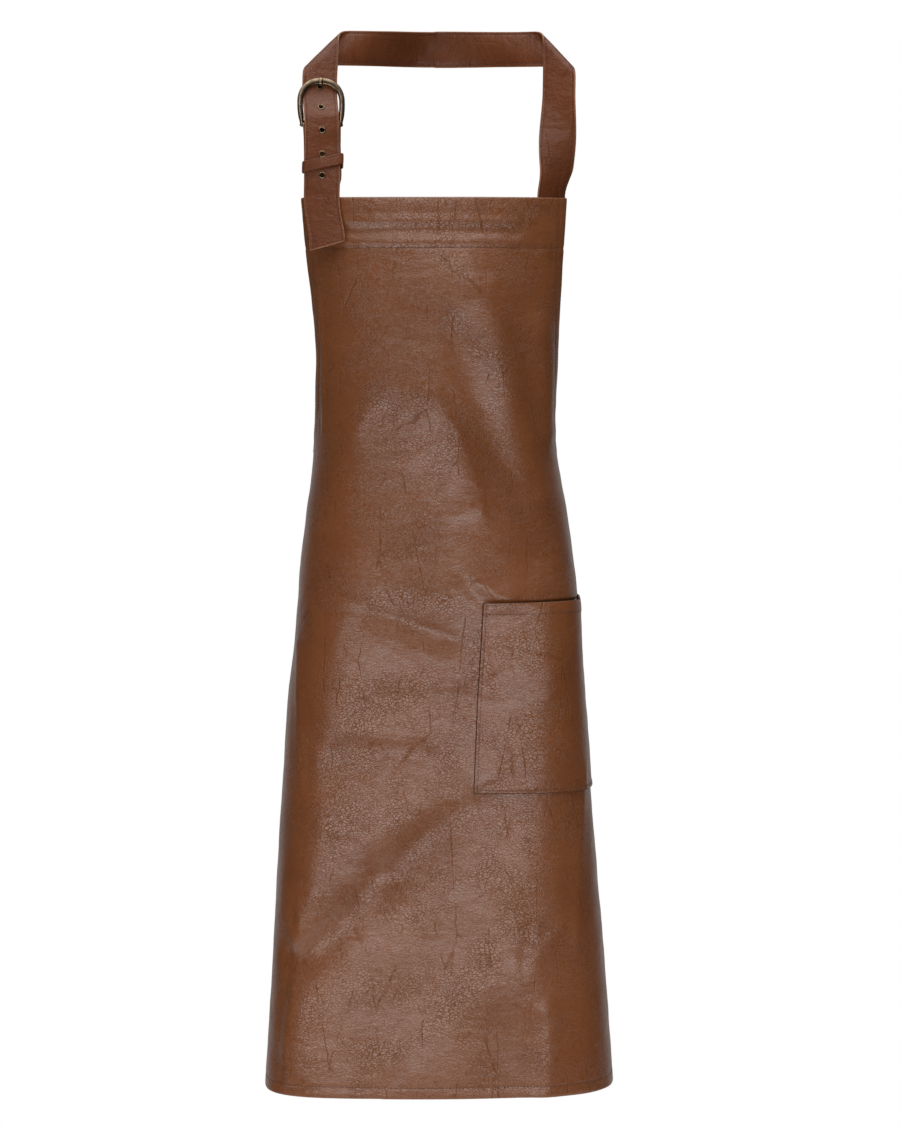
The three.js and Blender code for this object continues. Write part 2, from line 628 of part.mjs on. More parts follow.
// A tube of oval section along points in the left leg's axes
function tube(path, radii, sides) {
  const rings = path.map((here, i) => {
    const before = path[Math.max(0, i - 1)];
    const after = path[Math.min(path.length - 1, i + 1)];
    const along = new THREE.Vector3(...after).sub(new THREE.Vector3(...before)).normalize();
    const deep = new THREE.Vector3(0, 0, 1).addScaledVector(along, -along.z);
    if (deep.length() < 0.2) deep.set(0, 1, 0).addScaledVector(along, -along.y);
    deep.normalize();
    const wide = along.clone().cross(deep);
    const [w, t] = radii(i);
    const ring = [];
    for (let k = 0; k < sides; k++) {
      const angle = (2 * Math.PI * (k + 0.5)) / sides;
      const at = new THREE.Vector3(...here)
        .addScaledVector(wide, w * Math.cos(angle))
        .addScaledVector(deep, t * Math.sin(angle));
      ring.push(onLeg(at.x, at.y, at.z));
    }
    return ring;
  });
  const positions = [];
  for (const ring of rings) for (const p of ring) positions.push(p.x, p.y, p.z);
  const index = [];
  for (let i = 0; i < rings.length - 1; i++) {
    for (let k = 0; k < sides; k++) {
      const a = i * sides + k;
      const b = i * sides + ((k + 1) % sides);
      index.push(a, b, b + sides, a, b + sides, a + sides);
    }
  }
  const end = (rings.length - 1) * sides;
  for (let k = 1; k < sides - 1; k++) index.push(0, k + 1, k, end, end + k, end + k + 1);
  const geometry = new THREE.BufferGeometry();
  geometry.setAttribute("position", new THREE.Float32BufferAttribute(positions, 3));
  geometry.setIndex(index);
  return outward(geometry);
}

// Buckle frame: a horseshoe whose feet hold the bar
const frameShift = -0.4; // the strap sits a little off the frame's middle
const topRise = frameTopRise - frameTop / 2;
const frameTopDepth = longDepth(topRise) + strapThick / 2 + lipDepth + seamGap + frameDeep / 2;
const frameDepth = (rise) => mix(frameTopDepth, barDepth, (topRise - rise) / (topRise - barRise));
const frameHalf = frameInner + frameSide / 2;
const bowRise = frameTopRise - frameHeight * 0.48; // where the frame is widest
const footRise = frameTopRise - frameHeight + frameFoot / 2;
const footIn = 0.95; // half width at the feet, a share of frameHalf
const bowSteps = 16;
const legSteps = 5;
const framePath = [];
const frameRadii = [];
function addFramePoint(a, rise, thick) {
  framePath.push([frameShift + a, rise, frameDepth(rise)]);
  frameRadii.push([thick / 2, frameDeep / 2]);
}
for (const side of [-1, 1]) {
  for (let i = 0; i < legSteps; i++) {
    const share = side < 0 ? i / legSteps : 1 - (i + 1) / legSteps;
    const out = mix(footIn, 1, smooth(0.1 + 0.9 * share));
    const thick = mix(frameFoot, frameSide, smooth(2 * share));
    addFramePoint(side * frameHalf * out, mix(footRise, bowRise, share), thick);
  }
  if (side > 0) break;
  for (let i = 0; i <= bowSteps; i++) {
    const angle = Math.PI * (1 - i / bowSteps);
    const a = frameHalf * Math.sign(Math.cos(angle)) * Math.abs(Math.cos(angle)) ** 0.88;
    const up = Math.sin(angle) ** 0.94;
    addFramePoint(a, mix(bowRise, topRise, up), mix(frameSide, frameTop, Math.sin(angle) ** 2));
  }
}
const frame = toSolid(tube(framePath, (i) => frameRadii[i], 8));
const barHalf = Math.abs(framePath[0][0] - frameShift);
const barPath = divide([frameShift - barHalf, frameShift + barHalf], 12).map((a) => [a, barRise, barDepth]);
const bar = toSolid(tube(barPath, () => [wireRadius, wireRadius], 10));
add("buckle_frame", toGeometry(frame.add(bar)), brass);

// Prong: an eye round the bar, up behind the long strap, through the first eyelet, over the frame
const underStrap = (rise) => longDepth(rise) - strapThick / 2 - lipDepth - seamGap - prongRadius;
const prongRise = firstEyelet;
const frontOfFrame = frameTopDepth + frameDeep / 2 + prongRadius + seamGap;
const prongPath = [
  [0, barRise + wireRadius + 0.9, barDepth],
  [0, mix(barRise, prongRise, 0.3), Math.min(barDepth, underStrap(mix(barRise, prongRise, 0.3)))],
  [0, mix(barRise, prongRise, 0.6), underStrap(mix(barRise, prongRise, 0.6))],
  [0, prongRise - 5, underStrap(prongRise - 5)],
  [0, prongRise - 1, underStrap(prongRise)],
  [0, prongRise, underStrap(prongRise) + 0.9],
  [0, prongRise, mix(underStrap(prongRise), frontOfFrame, 0.75)],
  [0, prongRise + 0.6, frontOfFrame - 0.5],
  [0, prongRise + 2.6, frontOfFrame],
  [0, frameTopRise - 0.6, frontOfFrame - 0.1],
];
const shank = toSolid(tube(prongPath, () => [prongRadius * 1.4, prongRadius], 8));
const eyeInner = wireRadius + 0.45;
const eyeOuter = eyeInner + 1.3;
const eyeSteps = 12;
const eyePoint = (radius, a, step) => {
  const angle = (2 * Math.PI * step) / eyeSteps;
  return onLeg(a, barRise + radius * Math.cos(angle), barDepth + radius * Math.sin(angle));
};
const eyeFaces = [eyeOuter, eyeInner].map((radius) =>
  divide([0, eyeSteps - 1], 1).map((step) => [-prongEye, prongEye].map((a) => eyePoint(radius, a, step))),
);
const eye = toSolid(outward(wall(eyeFaces[0], eyeFaces[1], true)));
add("buckle_prong", toGeometry(shank.add(eye)), brass);

// Keeper: a closed band round both straps, a little slanted
const keeperRise = bibDrop - 124;
const keeperPath = [];
const keeperBack = -strapThick / 2 - looseGap - 0.2 - keeperThick / 2;
const keeperFront = longDepth(keeperRise) + strapThick / 2 + 0.9 + keeperThick / 2;
const keeperHalf = strapHalf + 1.3 + keeperThick / 2;
const cornerRound = Math.min(3, (keeperFront - keeperBack) / 2 - 0.2);
for (const [sa, sd, from] of [
  [1, 1, 0],
  [-1, 1, 0.5],
  [-1, -1, 1],
  [1, -1, 1.5],
]) {
  for (let k = 0; k <= 4; k++) {
    const angle = Math.PI * (from + k / 8);
    keeperPath.push([
      sa * (keeperHalf - cornerRound) + cornerRound * Math.cos(angle),
      (sd > 0 ? keeperFront - cornerRound : keeperBack + cornerRound) + cornerRound * Math.sin(angle),
      angle,
    ]);
  }
}
const keeperFaces = [keeperThick / 2, -keeperThick / 2].map((out) =>
  keeperPath.map(([a, d, angle]) =>
    divide([-keeperWidth / 2, keeperWidth / 2], 5).map((v) =>
      onLeg(a + out * Math.cos(angle), keeperRise - keeperSlant * a + v, d + out * Math.sin(angle)),
    ),
  ),
);
add("keeper_loop", wall(keeperFaces[0], keeperFaces[1], true), leather);

// Waist ties: sewn inside the panel's back corners, crossed in the knot, their ends hanging
const tieDrop = 0.362 * apronLength;
const backMiddle = (drop) => bareApron(10 * skirtHalf, drop).y;
const seatInside = 2 * cloth + looseGap + tieThick / 2;
const tieClear = 44; // distance from the knot at which each tie has reached its own layer
function tiePoint(side, layer, a, run) {
  const corner = skirtHalf - tieOverlap;
  const section = sectionAt(tieDrop / apronLength)[side < 0 ? "left" : "right"];
  const toKnot = section[section.length - 1].run - corner;
  if (run <= toKnot) {
    const across = side * (corner + run);
    const normal = normalOf(bareApron, across, tieDrop - a, 1.5);
    const away = smooth((run - tieOverlap) / (toKnot - tieClear - tieOverlap));
    const place = bareApron(across, tieDrop - a).addScaledVector(normal, mix(-seatInside, 0, away));
    place.y = mix(place.y, backMiddle(tieDrop) + layer, away);
    return place;
  }
  // beyond the knot the tie bends down into its tail
  const straightOn = knotWidth / 2 + 3;
  const past = Math.max(0, run - toKnot - straightOn);
  const bend = 14;
  const steep = THREE.MathUtils.degToRad(80);
  const turned = Math.min(past / bend, steep);
  const straight = Math.max(0, past - steep * bend);
  const x = Math.min(straightOn, run - toKnot) + bend * Math.sin(turned) + straight * Math.cos(steep);
  const z = -bend * (1 - Math.cos(turned)) - straight * Math.sin(steep);
  return new THREE.Vector3(
    -side * (x + a * Math.sin(turned)),
    backMiddle(tieDrop) + layer,
    -bibDrop - tieDrop + z + a * Math.cos(turned),
  );
}
const tieLength = (side) => {
  const section = sectionAt(tieDrop / apronLength)[side < 0 ? "left" : "right"];
  return section[section.length - 1].run - (skirtHalf - tieOverlap) + tieTail;
};
const tieLayers = { left: 0, right: tieThick + seamGap + 0.3 };
for (const [name, side] of [
  ["left", -1],
  ["right", 1],
]) {
  const point = (a, run) => tiePoint(side, tieLayers[name], a, run);
  const runs = divide([0, tieOverlap, tieLength(side)], 8);
  add("waist_tie_" + name, ribbon(point, divide([-tieWidth / 2, tieWidth / 2], 13), runs, tieThick), leather);
}
// The knot: a band drawn tight round both ties where they cross
const knotGap = 0.6;
const knotY = backMiddle(tieDrop) + (tieLayers.left + tieLayers.right) / 2;
const knotHalfHeight = tieWidth / 2 + 3.4 + knotThick / 2;
const knotHalfDepth = (tieLayers.right - tieLayers.left + tieThick) / 2 + knotGap + knotThick / 2;
const knotSteps = 20;
const knotFaces = [knotThick / 2, -knotThick / 2].map((out) => {
  const rows = [];
  for (let i = 0; i < knotSteps; i++) {
    const angle = (2 * Math.PI * i) / knotSteps;
    const y = Math.sign(Math.cos(angle)) * Math.abs(Math.cos(angle)) ** 0.4;
    const z = Math.sign(Math.sin(angle)) * Math.abs(Math.sin(angle)) ** 0.4;
    rows.push(
      divide([-knotWidth / 2, knotWidth / 2], 7).map(
        (x) =>
          new THREE.Vector3(
            x,
            knotY + (knotHalfDepth + out) * y,
            -bibDrop - tieDrop - 1.5 + (knotHalfHeight + out) * z,
          ),
      ),
    );
  }
  return rows;
});
add("waist_knot", wall(knotFaces[0], knotFaces[1], true), leather);

export default apron;
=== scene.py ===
# Full-length bib apron of coated leather cloth, hung in the form it has when worn.
# Blender 4.5. The scene is in metres; the sizes of the pieces below are in millimetres.
import math
import bpy
import numpy as np
from mathutils import Matrix, Vector, noise


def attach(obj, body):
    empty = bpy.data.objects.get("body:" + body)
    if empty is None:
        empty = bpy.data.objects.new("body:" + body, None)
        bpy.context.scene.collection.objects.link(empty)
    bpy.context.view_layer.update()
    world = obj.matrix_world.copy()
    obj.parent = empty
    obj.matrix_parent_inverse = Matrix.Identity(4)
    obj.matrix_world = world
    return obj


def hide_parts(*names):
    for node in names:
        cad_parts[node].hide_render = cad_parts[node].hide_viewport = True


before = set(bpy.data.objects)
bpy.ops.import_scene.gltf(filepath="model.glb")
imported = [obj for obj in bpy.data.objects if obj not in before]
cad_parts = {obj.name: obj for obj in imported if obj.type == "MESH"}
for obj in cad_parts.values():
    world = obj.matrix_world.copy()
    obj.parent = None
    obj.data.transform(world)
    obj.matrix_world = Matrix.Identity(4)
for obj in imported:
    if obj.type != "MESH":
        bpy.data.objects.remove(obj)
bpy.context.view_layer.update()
scene = bpy.context.scene
print("frame loaded:", len(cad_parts), "nodes")

# Camera
view = {
    "place": (14.0, -4301.7, -266.8),
    "lookAt": (14.0, -110.0, -530.52),
    "lens": 130.85,  # with 36 mm along the picture's long side
}
cameraData = bpy.data.cameras.new("Studio_camera")
cameraData.lens = view["lens"]
cameraData.sensor_width = 36.0
cameraData.clip_end = 60.0
camera = bpy.data.objects.new("Studio_camera", cameraData)
scene.collection.objects.link(camera)
camera.location = Vector(view["place"]) / 1000
camera.rotation_mode = "QUATERNION"
camera.rotation_quaternion = (Vector(view["lookAt"]) - Vector(view["place"])).to_track_quat("-Z", "Y")
scene.camera = camera


# Small helpers
def smooth(share):
    held = np.clip(share, 0.0, 1.0)
    return held * held * (3 - 2 * held)


def mix(low, high, share):
    return low + (high - low) * share


def bump(distance, width):
    return np.exp(-((distance / width) ** 2))


def withColumns(names, rows):
    return {name: [row[i] for row in rows] for i, name in enumerate(names)}


# A column of a table at a place in its first column, on a smooth curve that never overshoots
def readTable(table, place, column, at):
    xs, ys = table[place], table[column]
    last = len(xs) - 1
    if at <= xs[0]:
        return ys[0]
    if at >= xs[last]:
        return ys[last]
    i = 0
    while xs[i + 1] < at:
        i += 1

    def slope(k):
        return (ys[k + 1] - ys[k]) / (xs[k + 1] - xs[k])

    def tangent(k):
        if k == 0:
            return slope(0)
        if k == last:
            return slope(last - 1)
        before, after = slope(k - 1), slope(k)
        return 0 if before * after <= 0 else 2 * before * after / (before + after)

    span = xs[i + 1] - xs[i]
    u = (at - xs[i]) / span
    bend = (u**3 - 2 * u**2 + u) * tangent(i) + (u**3 - u**2) * tangent(i + 1)
    return mix(ys[i], ys[i + 1], u * u * (3 - 2 * u)) + bend * span


# Places between stops, so that no step is longer than the one asked for
def divide(stops, longest):
    places = [stops[0]]
    for low, high in zip(stops, stops[1:]):
        steps = max(1, round((high - low) / longest))
        places += [mix(low, high, k / steps) for k in range(1, steps + 1)]
    return places


# Soft bumps of about this size along the cloth, from about -1 to 1
def ripple(across, drop, size, seed, stretch=1.0):
    return np.array([noise.noise(Vector((a / size, drop / (size * stretch), seed))) for a in across])


def hexColor(code):
    parts = [int(code[i : i + 2], 16) / 255 for i in (1, 3, 5)]
    return tuple(c / 12.92 if c <= 0.04045 else ((c + 0.055) / 1.055) ** 2.4 for c in parts) + (1.0,)


# The worn cloth
cloth = {
    "thick": 1.4,  # one layer of coated cloth
    "bibDrop": 158.0,  # nape down to the bib's top edge
    "length": 906.0,
    "bibHalf": 145.0,  # half widths: the bib and the skirt laid flat, and the hem as worn
    "skirtHalf": 320.0,
    "hemHalf": 180.5,
    "frontReach": 208.0,  # nape forward to the hem's front
    "backReach": 30.0,  # and back to where the cross section closes behind
    "sideHem": 10.0,
    "bibHem": 50.0,
    "grainLean": 0.042,  # how far the middle column leans aside, for each millimetre below the pocket's mouth
    "foldRise": 10.0,  # what rise 1 and spread 1 stand for in the table of folds
    "foldSpread": 60.0,
    "seamGap": 0.3,  # between layers that are sewn together
    "looseGap": 0.7,  # and between layers that are not
    "step": 4.0,  # spacing of the mesh
    "puckerRise": 0.5,  # beside the seams
    "bibSeamDip": 0.55,  # how deep each row of stitches sinks in
    "hemSeamDip": 0.5,
    "sideSeamDip": 0.45,
}
# Soft unevenness of cloth that has hung: rise, size across, seed, and how much longer it is down the cloth
softness = [(0.9, 95, 3.1, 1.6), (0.5, 38, 7.7, 0.7), (0.16, 15, 5.2, 0.6)]
pocket = {
    "drop": 407.0,  # bib's top edge down to the mouth
    "depth": 191.0,
    "width": 200.0,
    "start": 46.5,  # middle line to the near edge
    "hem": 11.0,
    "bulge": 5.0,  # how far it stands off the panel
    "swellWidth": 150.0,  # near edge to where the bulge ends
    "seam": 9.0,
    "stitchIn": 3.0,
    "edgeLean": 0.7,
    "drawnIn": 2.4,  # how far the panel goes back behind the mouth
    "hemBulk": 0.6,  # thickness that the mouth's hem and the seams add, in layers
    "seamBulk": 0.45,
    "seamDip": 0.3,
    "hemDip": 0.15,
    "softRise": 0.35,
    "puckerRise": 0.4,
}
# Cross sections of the worn panel. down: share of the length. edge: 0 as wide as the bib, 1 as the skirt.
# half, middle: shares of hemHalf. front, side: shares of frontReach. back: share of backReach.
# left, right: how square the front corners are.
sections = withColumns(["down", "edge", "half", "middle", "front", "side", "back", "left", "right"], [
    [0.0, 0.0, 0.839, -0.012, 0.72, 0.3, -1.2, 2.5, 2.4],
    [0.055, 0.0, 0.795, -0.01, 0.77, 0.33, -1.1, 2.4, 2.4],
    [0.113, 0.0, 0.751, -0.001, 0.83, 0.37, -1.0, 2.35, 2.35],
    [0.17, 0.01, 0.718, 0.003, 0.865, 0.385, -0.9, 2.3, 2.3],
    [0.226, 0.04, 0.703, -0.005, 0.875, 0.39, -0.6, 2.3, 2.3],
    [0.25, 0.085, 0.692, -0.007, 0.875, 0.39, -0.4, 2.35, 2.35],
    [0.272, 0.22, 0.689, -0.007, 0.875, 0.39, -0.2, 2.4, 2.4],
    [0.318, 0.84, 0.714, -0.001, 0.88, 0.39, 0.0, 2.5, 2.5],
    [0.345, 1.0, 0.737, 0.002, 0.89, 0.395, 0.1, 2.6, 2.6],
    [0.408, 1.0, 0.779, 0.004, 0.925, 0.4, 0.5, 2.8, 3.2],
    [0.455, 1.0, 0.799, 0.008, 0.95, 0.4, 0.9, 3.1, 3.9],
    [0.5, 1.0, 0.814, 0.005, 0.956, 0.4, 1.0, 3.3, 4.2],
    [0.568, 1.0, 0.846, -0.001, 0.957, 0.39, 1.0, 3.5, 4.3],
    [0.66, 1.0, 0.877, -0.001, 0.958, 0.38, 0.9, 3.8, 4.1],
    [0.753, 1.0, 0.911, 0.003, 0.965, 0.37, 0.8, 4.0, 3.8],
    [0.844, 1.0, 0.943, 0.013, 0.975, 0.365, 0.7, 4.2, 3.6],
    [0.937, 1.0, 0.975, 0.017, 0.988, 0.36, 0.6, 4.3, 3.4],
    [1.0, 1.0, 0.998, 0.017, 1.0, 0.36, 0.6, 4.4, 3.15],
])
# The large folds. x1, x2: shares of skirtHalf. d1, d2: shares of the length. rise, spread: shares.
folds = [
    [-0.235, 0.15, -0.2, 0.24, -0.32, 0.75],
    [0.12, 0.08, 0.17, 0.24, 0.35, 0.55],
    [0.07, 0.15, 0.19, 0.3, -0.35, 0.45],
    [-0.02, 0.22, 0.13, 0.38, 0.32, 0.5],
    [-0.22, 0.22, -0.3, 0.29, 0.3, 0.5],
    [0.36, 0.15, 0.41, 0.26, 0.5, 0.3],
    [-0.17, 0.46, 0.02, 0.485, -0.35, 0.3],
    [0.1, 0.425, 0.2, 0.44, 0.35, 0.35],
    [-0.3, 0.63, -0.05, 0.62, -0.25, 0.4],
    [0.07, 0.665, -0.18, 0.75, -0.7, 0.42],
    [-0.18, 0.75, -0.45, 0.845, -0.85, 0.42],
    [-0.36, 0.7, -0.44, 0.775, 0.4, 0.6],
    [-0.12, 0.8, 0.2, 0.76, 0.3, 0.9],
    [0.17, 0.93, 0.24, 1.0, -0.3, 0.55],
    [0.345, 0.91, 0.335, 1.02, 0.3, 0.25],
]
# Creases that the solids leave out, in millimetres: places on the flat cloth from the middle line and the
# bib's top edge, left to right, rise over the cloth around, half width above the line, half width below it
creases = [
    # ripples of the bib's band
    ([(-92, 7), (84, 8)], 1, 6, 7),
    ([(-92, 23), (16, 22), (84, 24)], 1.8, 5, 5),
    ([(-92, 32), (84, 33)], -1.5, 5, 5),
    ([(-98, 44), (16, 43), (84, 44)], 1.6, 5, 5),
    # beside the middle of the bib
    ([(50, 95), (74, 170), (98, 245), (114, 300)], 2.4, 14, 20),
    ([(-2, 199), (20, 233), (44, 298)], 2.6, 9, 24),
    ([(22, 145), (42, 195), (62, 248), (86, 292), (104, 356)], -2.6, 24, 16),
    ([(17, 320), (56, 310)], 1.2, 9, 7),
    ([(-87, 236), (-59, 204)], 1, 10, 10),
    # over the pocket's corner
    ([(21, 378), (47, 408)], -2, 8, 5.5),
    ([(40, 387), (72, 404)], 1.8, 9, 5),
    # a sharp crease beside the pocket
    ([(-64, 415), (-25, 427), (13, 440)], -1.8, 4.8, 17),
    # lying folds under it
    ([(-56, 503), (36, 501)], -1.8, 10, 24),
    ([(-93, 551), (-18, 555)], -1.5, 9, 18),
    # the long slanting fold
    ([(-150, 748), (-103, 706), (-70, 673), (-34, 636), (4, 608), (39, 594)], 4, 22, 13),
    ([(-62, 686), (-52, 675)], 5, 26, 26),
    ([(-146, 786), (-84, 734), (-37, 691), (15, 642)], -2.8, 16, 30),
    ([(-143, 754), (-102, 710)], 1.3, 5, 5),
    ([(-148, 774), (-112, 734)], -1.2, 5, 5),
    ([(-45, 626), (-34, 658)], 0.7, 5, 5),
    ([(-32, 623), (-19, 654)], 0.7, 5, 5),
    # short marks
    ([(-21, 447), (-11, 479)], -0.9, 5, 5),
    ([(-3, 448), (-10, 479)], -0.9, 5, 5),
    ([(-81, 651), (-70, 638)], -0.9, 5, 5),
    ([(-87, 739), (-78, 765)], -1, 5, 5),
    ([(42, 736), (32, 774)], -0.9, 5, 5),
    ([(91, 731), (85, 778)], -1, 5, 5),
    ([(-37, 835), (-25, 868)], -0.9, 5, 5),
    # near the hem
    ([(-24, 872), (72, 782)], 5.5, 34, 50),
    ([(102, 830), (99, 895)], -1.4, 6, 12),
    # down the side hem, the hem's left corner and the skirt's sides
    ([(-132, 56), (-130, 100), (-132, 140), (-131, 235)], 1.0, 3.6, 3.6),
    ([(-147, 745), (-150, 810), (-158, 871)], 5, 26, 9),
    ([(-163, 452), (-149, 518), (-142, 587)], 1.6, 7, 7),
    ([(164, 579), (153, 659), (143, 754)], 1.6, 7, 7),
]
sectionCurves = {}


# Half curves from the middle of the front round each side to the middle of the back
def sectionAt(down):
    key = round(float(down), 6)
    if key in sectionCurves:
        return sectionCurves[key]

    def at(column):
        return readTable(sections, "down", column, down)

    half, middle = at("half") * cloth["hemHalf"], at("middle") * cloth["hemHalf"]
    sideY = -at("side") * cloth["frontReach"]
    frontDepth = at("front") * cloth["frontReach"] + sideY
    backDepth = at("back") * cloth["backReach"] - sideY
    angle = np.linspace(0, math.pi, 321)
    inFront = np.arange(321) <= 160
    made = {}
    for side, corner in ((-1, at("left")), (1, at("right"))):
        power = np.where(inFront, 2 / corner, 2 / 2.2)
        x = middle + side * half * np.abs(np.sin(angle)) ** power
        y = sideY + np.where(inFront, -frontDepth, backDepth) * np.abs(np.cos(angle)) ** power
        run = np.concatenate([[0], np.cumsum(np.hypot(np.diff(x), np.diff(y)))])
        made[side] = (run, x, y)
    sectionCurves[key] = made
    return made


def edgeAt(down):
    return mix(cloth["bibHalf"], cloth["skirtHalf"], readTable(sections, "down", "edge", down))


def bareCloth(across, drop):
    made = sectionAt(min(1.0, max(0.0, drop / cloth["length"])))
    out = np.empty((len(across), 3))
    for side in (-1, 1):
        here = across < 0 if side < 0 else across >= 0
        run, x, y = made[side]
        out[here, 0] = np.interp(np.abs(across[here]), run, x)
        out[here, 1] = np.interp(np.abs(across[here]), run, y)
    out[:, 2] = -cloth["bibDrop"] - drop
    return out


def clothNormal(across, drop, step=1.5):
    alongU = bareCloth(across + step, drop) - bareCloth(across - step, drop)
    alongV = bareCloth(across, drop + step) - bareCloth(across, drop - step)
    normal = np.cross(alongV, alongU)
    return normal / np.maximum(np.linalg.norm(normal, axis=1), 1e-9)[:, None]


# Distance from a line on the flat cloth, above 0 on its upper side
def offLine(across, drop, x1, d1, x2, d2):
    dx, dd = x2 - x1, d2 - d1
    share = np.clip(((across - x1) * dx + (drop - d1) * dd) / (dx * dx + dd * dd), 0, 1)
    off = np.hypot(across - x1 - share * dx, drop - d1 - share * dd)
    return off * np.sign((across - x1) * dd - (drop - d1) * dx)


def foldHeight(across, drop):
    height = np.zeros(len(across))
    for x1, d1, x2, d2, rise, spread in folds:
        off = offLine(across, drop, x1 * cloth["skirtHalf"], d1 * cloth["length"],
                      x2 * cloth["skirtHalf"], d2 * cloth["length"])
        height += rise * cloth["foldRise"] * bump(off, spread * cloth["foldSpread"])
    for places, rise, above, below in creases:
        downs = [p[1] for p in places]
        if min(downs) - 3 * above < drop < max(downs) + 3 * below:
            offs = np.array([offLine(across, drop, *p, *q) for p, q in zip(places, places[1:])])
            off = offs[np.argmin(np.abs(offs), axis=0), np.arange(len(across))]
            height += rise * bump(off, np.where(off > 0, above, below))
    return height


# Height of the finished cloth over its plain form: folds, softness, and the pull of its seams
def clothHeight(across, drop):
    height = foldHeight(across, drop)
    for rise, size, seed, stretch in softness:
        height += rise * ripple(across, drop, size, seed, stretch)
    offBibSeam = drop - cloth["bibHem"]
    height += cloth["puckerRise"] * ripple(across, drop * 0.2, 11, 1.3) * bump(offBibSeam, 9.0)
    height -= cloth["bibSeamDip"] * bump(offBibSeam, 1.9)
    offHemSeam = cloth["length"] - cloth["sideHem"] - drop
    height += 0.6 * cloth["puckerRise"] * ripple(across, drop * 0.2, 16, 2.3) * bump(offHemSeam + 1, 8.0)
    height -= cloth["hemSeamDip"] * bump(offHemSeam, 1.8)
    offSideSeam = edgeAt(drop / cloth["length"]) - np.abs(across) - cloth["sideHem"]
    height += cloth["puckerRise"] * noise.noise(Vector((0.0, drop / 15, 4.4))) * bump(offSideSeam, 7.0)
    height -= cloth["sideSeamDip"] * bump(offSideSeam, 1.8)
    return height


def clothFace(across, drop, lift=0.0):
    across = np.atleast_1d(np.asarray(across, float))
    height = clothHeight(across, drop) + lift
    return bareCloth(across, drop) + clothNormal(across, drop) * np.asarray(height)[:, None]


# Columns run from -2 to 2: 1 is the inner line of a side hem and 2 is the cloth's edge
def acrossAt(column, drop):
    down = drop / cloth["length"]
    rate = (edgeAt(down + 0.004) - edgeAt(down - 0.004)) / (0.008 * cloth["length"])
    hem = min(cloth["sideHem"] * math.hypot(1, rate), 3 * cloth["sideHem"])
    inner = edgeAt(down) - hem
    size = np.abs(column)
    lean = cloth["grainLean"] * max(0.0, drop - pocket["drop"]) * np.maximum(0.0, 1 - size * size)
    return np.sign(column) * np.where(size <= 1, size * inner, inner + (size - 1) * hem) - lean


# Meshes
def newMesh(name, points, faces, uvs=None, uvFaces=None, slots=None):
    mesh = bpy.data.meshes.new(name)
    points = np.asarray(points, float)
    mesh.from_pydata((points / 1000).tolist(), [], faces)
    if uvs is not None:
        layer = mesh.uv_layers.new(name="flat_cloth")
        flatUv = np.asarray(uvs, float)[np.concatenate([np.asarray(f) for f in (uvFaces or faces)])]
        layer.data.foreach_set("uv", (flatUv / 1000).ravel())
    if slots is not None:
        mesh.polygons.foreach_set("material_index", slots)
    mesh.polygons.foreach_set("use_smooth", [True] * len(faces))
    # a face that looks inwards would shade wrong, so the enclosed volume has to come out positive
    first, second, third, last = (points[[f[k] for f in faces]] for k in (0, 1, 2, -1))
    volume = np.einsum("ij,ij->i", first, np.cross(second, third) + np.cross(third, last)).sum()
    mesh.update()
    if volume < 0:
        mesh.flip_normals()
    mesh.validate()
    piece = bpy.data.objects.new(name, mesh)
    scene.collection.objects.link(piece)
    return piece


